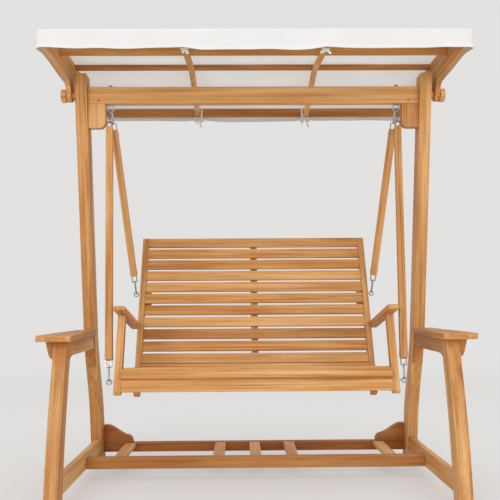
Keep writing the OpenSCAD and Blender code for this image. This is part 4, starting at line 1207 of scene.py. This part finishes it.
# a slat of the seat: a rectangle that touches the arc at this angle and lies below it
def seatSlat(angle):
    a = math.radians(angle)
    side = bench["seatWidth"] / 2 * np.array([math.cos(a), math.sin(a)])
    down = np.array([math.sin(a), -math.cos(a)])
    thick = bench["seatThick"] * down
    centre = onSeat(angle, bench["seatRadius"])
    outline = [centre - side, centre - side + thick, centre + side + thick, centre + side]
    reach = postFace - bench["seatShort"]
    return board(outline, -reach, reach, acrossAxes, alongX, inAcross(down), radius=4, ease=0.8,
                 tone=0.4)


makePiece("seatSlats", teak, "bench", ["seat_slats"],
          [seatSlat(bench["seatFirst"] + i * bench["seatStep"]) for i in range(bench["seatCount"])])


# the angles are where the arcs start; under and back are the cut behind the nose slat
bearer = {"half": 14.0, "depth": 40.0, "sink": 0.8, "gap": 0.3, "lowFrom": -20.9, "topFrom": -27.0,
          "under": 20.0, "back": 14.0, "railUp": 30.0, "atStile": 0.2}


# angle at which an arc of the seat meets the front face of the stile, read off a fine scale
def angleAtStile(radius):
    search = np.linspace(0, 40, 1601)
    past = (onSeat(search, radius) - bench["stileFoot"]) @ behindStile
    return float(np.interp(bearer["atStile"], past, search))


# curved bearer under the seat: two arcs that start behind the nose slat and end at the stile
def bearerOutline():
    top = bench["seatRadius"] + bench["seatThick"] - bearer["sink"]
    bottom = bench["seatRadius"] + bench["seatThick"] + bearer["depth"]
    a = math.radians(bench["noseAngle"])
    ahead, below = np.array([math.cos(a), math.sin(a)]), np.array([math.sin(a), -math.cos(a)])
    start = np.asarray(bench["nose"]) + bench["noseThick"] / 2 * below
    up = bearer["railUp"]
    behindRail = [railY + bench["railThick"] + bench["armSlope"] * up, railZ + up]
    lowArc = onSeat(np.linspace(bearer["lowFrom"], angleAtStile(bottom), 20), bottom)
    topArc = onSeat(np.linspace(angleAtStile(top), bearer["topFrom"], 24), top)
    return np.concatenate([[start + bearer["under"] * ahead, start - bearer["back"] * ahead,
                            behindRail], lowArc, topArc])


bearerFrom, bearerTo = stileInner + bearer["gap"], postFace - bearer["gap"]
bearerSpans = ((bearerFrom, bearerTo), (-bearerTo, -bearerFrom), (-bearer["half"], bearer["half"]))
makePiece("seatBearers", redShadeTeak, "bench", ["seat_rails"],
          [board(bearerOutline(), x0, x1, acrossAxes, alongY, alongX, radius=2)
           for x0, x1 in bearerSpans])
print("bench made")

# the bars run from the eyebolts' rings to the seat's eyes; barEnd is what the hooks take
hanger = {
    "eyeX": 678.0, "offset": 5.0, "pivotY": 19.0, "ringZ": 1731.4, "ringRadius": 15.0,
    "barEnd": 84.0, "side": 31.0, "frontEnd": (629, -329, 484), "rearEnd": (593, 223, 862),
}
swingZ = hanger["ringZ"] - math.sqrt(hanger["ringRadius"] ** 2 - hanger["offset"] ** 2)


# A square bar between its two hooks, its ends cut square. It is drawn upright, then turned
# about X and Y so that its length points from top to end.
def barBetween(top, end):
    top, end = np.asarray(top, float), np.asarray(end, float)
    length = np.linalg.norm(end - top)
    d = (end - top) / length
    turn = aboutX(math.atan2(d[1], -d[2])) @ aboutY(-math.asin(d[0]))
    h, w = length / 2 - hanger["barEnd"], hanger["side"] / 2
    outline = [[-w, -h], [w, -h], [w, h], [-w, h]]
    axes = np.array([turn[:, 0], turn[:, 2], -turn[:, 1]])
    return board(outline, -w, w, axes, turn[:, 2], turn[:, 0], radius=2.5, ease=3.0,
                 origin=(top + end) / 2, tone=0.3)


# one bar on each side, from the ring (offset from its middle) to the eye
def barPair(offset, end):
    return [barBetween((s * (hanger["eyeX"] + offset), hanger["pivotY"], swingZ),
                       (s * end[0], end[1], end[2])) for s in bothWays]


makePiece("frontBars", teak, "bench", ["front_bars"],
          barPair(hanger["offset"], hanger["frontEnd"]))
makePiece("rearBars", teak, "bench", ["rear_bars"], barPair(-hanger["offset"], hanger["rearEnd"]))

# the beam's plugs by their distance from the middle, the others by height or place in Y
plugs = {"radius": 5.5, "proud": 0.6, "deep": 4.0, "beamFrontX": 731.0, "beamRearX": 752.0,
         "beamUp": 13.0, "shelfX": 810.0, "shelfY": (-470, -430), "baseZ": (62, 94),
         "baseInset": 44.0, "apronUp": (18, 48), "apronInset": 40.0}


# end grain plugs over the screws: low domes, each a short turned cap
def plugAt(x, y, z, out):
    a = np.linspace(0, np.pi / 2, 5)
    stations = np.concatenate([[-plugs["deep"]], -0.2 + (plugs["proud"] + 0.2) * np.sin(a)])
    radii = np.concatenate([[plugs["radius"]], plugs["radius"] * np.cos(a) ** 0.4 + 0.05])
    return turned(stations, radii, (x, y, z), out, segments=24, tone=-2.2)


# all plugs of the stand: two on the beam, then on each side the shelf's, base's and apron's
def standPlugs():
    parts = []
    beamFront, beamRear = beam["y"] - beam["thick"] / 2, beam["y"] + beam["thick"] / 2
    plugZ = beam["low"] + plugs["beamUp"]
    for s in bothWays:
        out = (s, 0, 0)
        parts.append(plugAt(s * plugs["beamFrontX"], beamFront, plugZ, -alongY))
        parts.append(plugAt(s * plugs["beamRearX"], beamRear, plugZ, alongY))
        for y in plugs["shelfY"]:
            parts.append(plugAt(s * plugs["shelfX"], y, sideFrame["shelfTop"], alongZ))
        for z in plugs["baseZ"]:
            parts.append(plugAt(s * half, float(legRear(z)) - plugs["baseInset"], z, out))
            parts.append(plugAt(s * half, float(postFront(z)) + plugs["baseInset"], z, out))
        for up in plugs["apronUp"]:
            z = apronBottom + up
            parts.append(plugAt(s * half, float(postFront(z)) + plugs["apronInset"], z, out))
    return parts


makePiece("standPlugs", redShadeTeak, "stand", (), standPlugs())

metalNodes = [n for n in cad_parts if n.startswith("gate_")]
metalNodes += ["eyebolts", "eyebolt_nuts", "pivot_bolts", "bench_eyes", "fork_straps",
               "fork_bolts", "snap_hooks"]
for name in metalNodes:
    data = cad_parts[name].data
    data.materials.clear()
    data.materials.append(steel)
print("hangers and metal made")

# the floor's look: its own colour, what it glows with near the object and far off, how much of
# it glows near by, and where the change starts and ends in metres
studio = {"floor": (0.80, 0.795, 0.785, 1), "reach": 16.0, "glowNear": (0.700, 0.693, 0.682, 1),
          "shown": (0.765, 0.758, 0.748, 1), "near": 0.48, "fade": (1.6, 6.5),
          "light": (0.775, 0.772, 0.766, 1)}


# true for what is seen straight, in metal or through glass
def seenRay(tree):
    path = addNode(tree, "ShaderNodeLightPath")
    mirror = maths(tree, "MAXIMUM", path.outputs["Is Glossy Ray"],
                   path.outputs["Is Transmission Ray"])
    return maths(tree, "MAXIMUM", path.outputs["Is Camera Ray"], mirror)


# floor: rings of a flat disc. It takes the object's shadow and, as it is seen, turns into the
# colour of the world with the distance from the middle.
def makeStudio():
    radii = np.array([0.5, 1, 2, 3, 4.5, 6.5, 9, 12, studio["reach"]])[:, None]
    a = np.linspace(0, 2 * np.pi, 72, endpoint=False)[None]
    grid = np.stack([radii * np.cos(a), radii * np.sin(a), 0 * radii * a], 2)
    rows, columns = grid.shape[:2]
    faces = gridQuads(rows, columns).tolist()
    faces.append(list(range(columns)))
    mesh = bpy.data.meshes.new("studioFloor")
    mesh.from_pydata(grid.reshape(-1, 3).tolist(), [], faces)
    floor = bpy.data.objects.new("studioFloor", mesh)
    bpy.context.scene.collection.objects.link(floor)
    material, tree, shader = newMaterial("paper")
    where = addNode(tree, "ShaderNodeTexCoord").outputs["Object"]
    far = addNode(tree, "ShaderNodeVectorMath", {0: where}, operation="LENGTH").outputs["Value"]
    fade = addNode(tree, "ShaderNodeMapRange", {0: far, 1: studio["fade"][0], 2: studio["fade"][1],
                                                3: 0.0, 4: 1.0}, interpolation_type="SMOOTHSTEP")
    shown = mixColour(tree, fade.outputs[0], studio["glowNear"], studio["shown"])
    glow = addNode(tree, "ShaderNodeEmission", {"Color": shown, "Strength": 1.0})
    share = spread(tree, fade.outputs[0], 1 - studio["near"], studio["near"], False)
    setInputs(tree, shader, {"Base Color": studio["floor"], "Roughness": 0.9})
    showSurface(tree, times(tree, share, seenRay(tree)), shader.outputs[0], glow.outputs[0])
    mesh.materials.append(material)


makeStudio()

lamps = {
    "key": {"place": (-2.2, -4.8, 2.3), "aim": (0, 0, 1.0), "size": 2.6, "power": 85},
    "fill": {"place": (3.2, -4.0, 1.8), "aim": (0, 0, 1.0), "size": 2.6, "power": 50},
    "top": {"place": (0.3, 0.6, 4.6), "aim": (0, 0.3, 0), "size": 4.0, "power": 58},
}


# the turn of a lamp whose back points away from its aim and whose side stays level
def aimAt(place, aim):
    back = unit(np.subtract(place, aim))
    right = unit(np.cross(alongZ, back))
    return Matrix(np.stack([right, np.cross(back, right), back], 1).tolist()).to_euler()


for name, lamp in lamps.items():
    data = bpy.data.lights.new(name, "AREA")
    data.size = lamp["size"]
    data.energy = lamp["power"]
    light = bpy.data.objects.new(name, data)
    light.location = lamp["place"]
    light.rotation_euler = aimAt(lamp["place"], lamp["aim"])
    bpy.context.scene.collection.objects.link(light)

world = bpy.data.worlds.new("studioLight")
bpy.context.scene.world = world
world.use_nodes = True
sky = world.node_tree
setInputs(sky, sky.nodes["Background"], {
    "Color": mixColour(sky, seenRay(sky), studio["light"], studio["shown"]), "Strength": 1.0})

lens = {"focal": 50.4, "place": (-0.064, -3.309, 0.806), "yaw": -0.70, "roll": -0.35,
        "shift": 0.106}
camera = bpy.data.cameras.new("camera")
camera.lens = lens["focal"]
camera.sensor_width = 36
camera.shift_y = lens["shift"]
cameraObject = bpy.data.objects.new("camera", camera)
cameraObject.location = lens["place"]
cameraObject.rotation_euler = (Matrix.Rotation(math.radians(lens["yaw"]), 3, "Z")
                               @ Matrix.Rotation(math.radians(90), 3, "X")
                               @ Matrix.Rotation(math.radians(lens["roll"]), 3, "Z")).to_euler()
bpy.context.scene.collection.objects.link(cameraObject)
bpy.context.scene.camera = cameraObject
bpy.context.scene.view_settings.view_transform = "Standard"
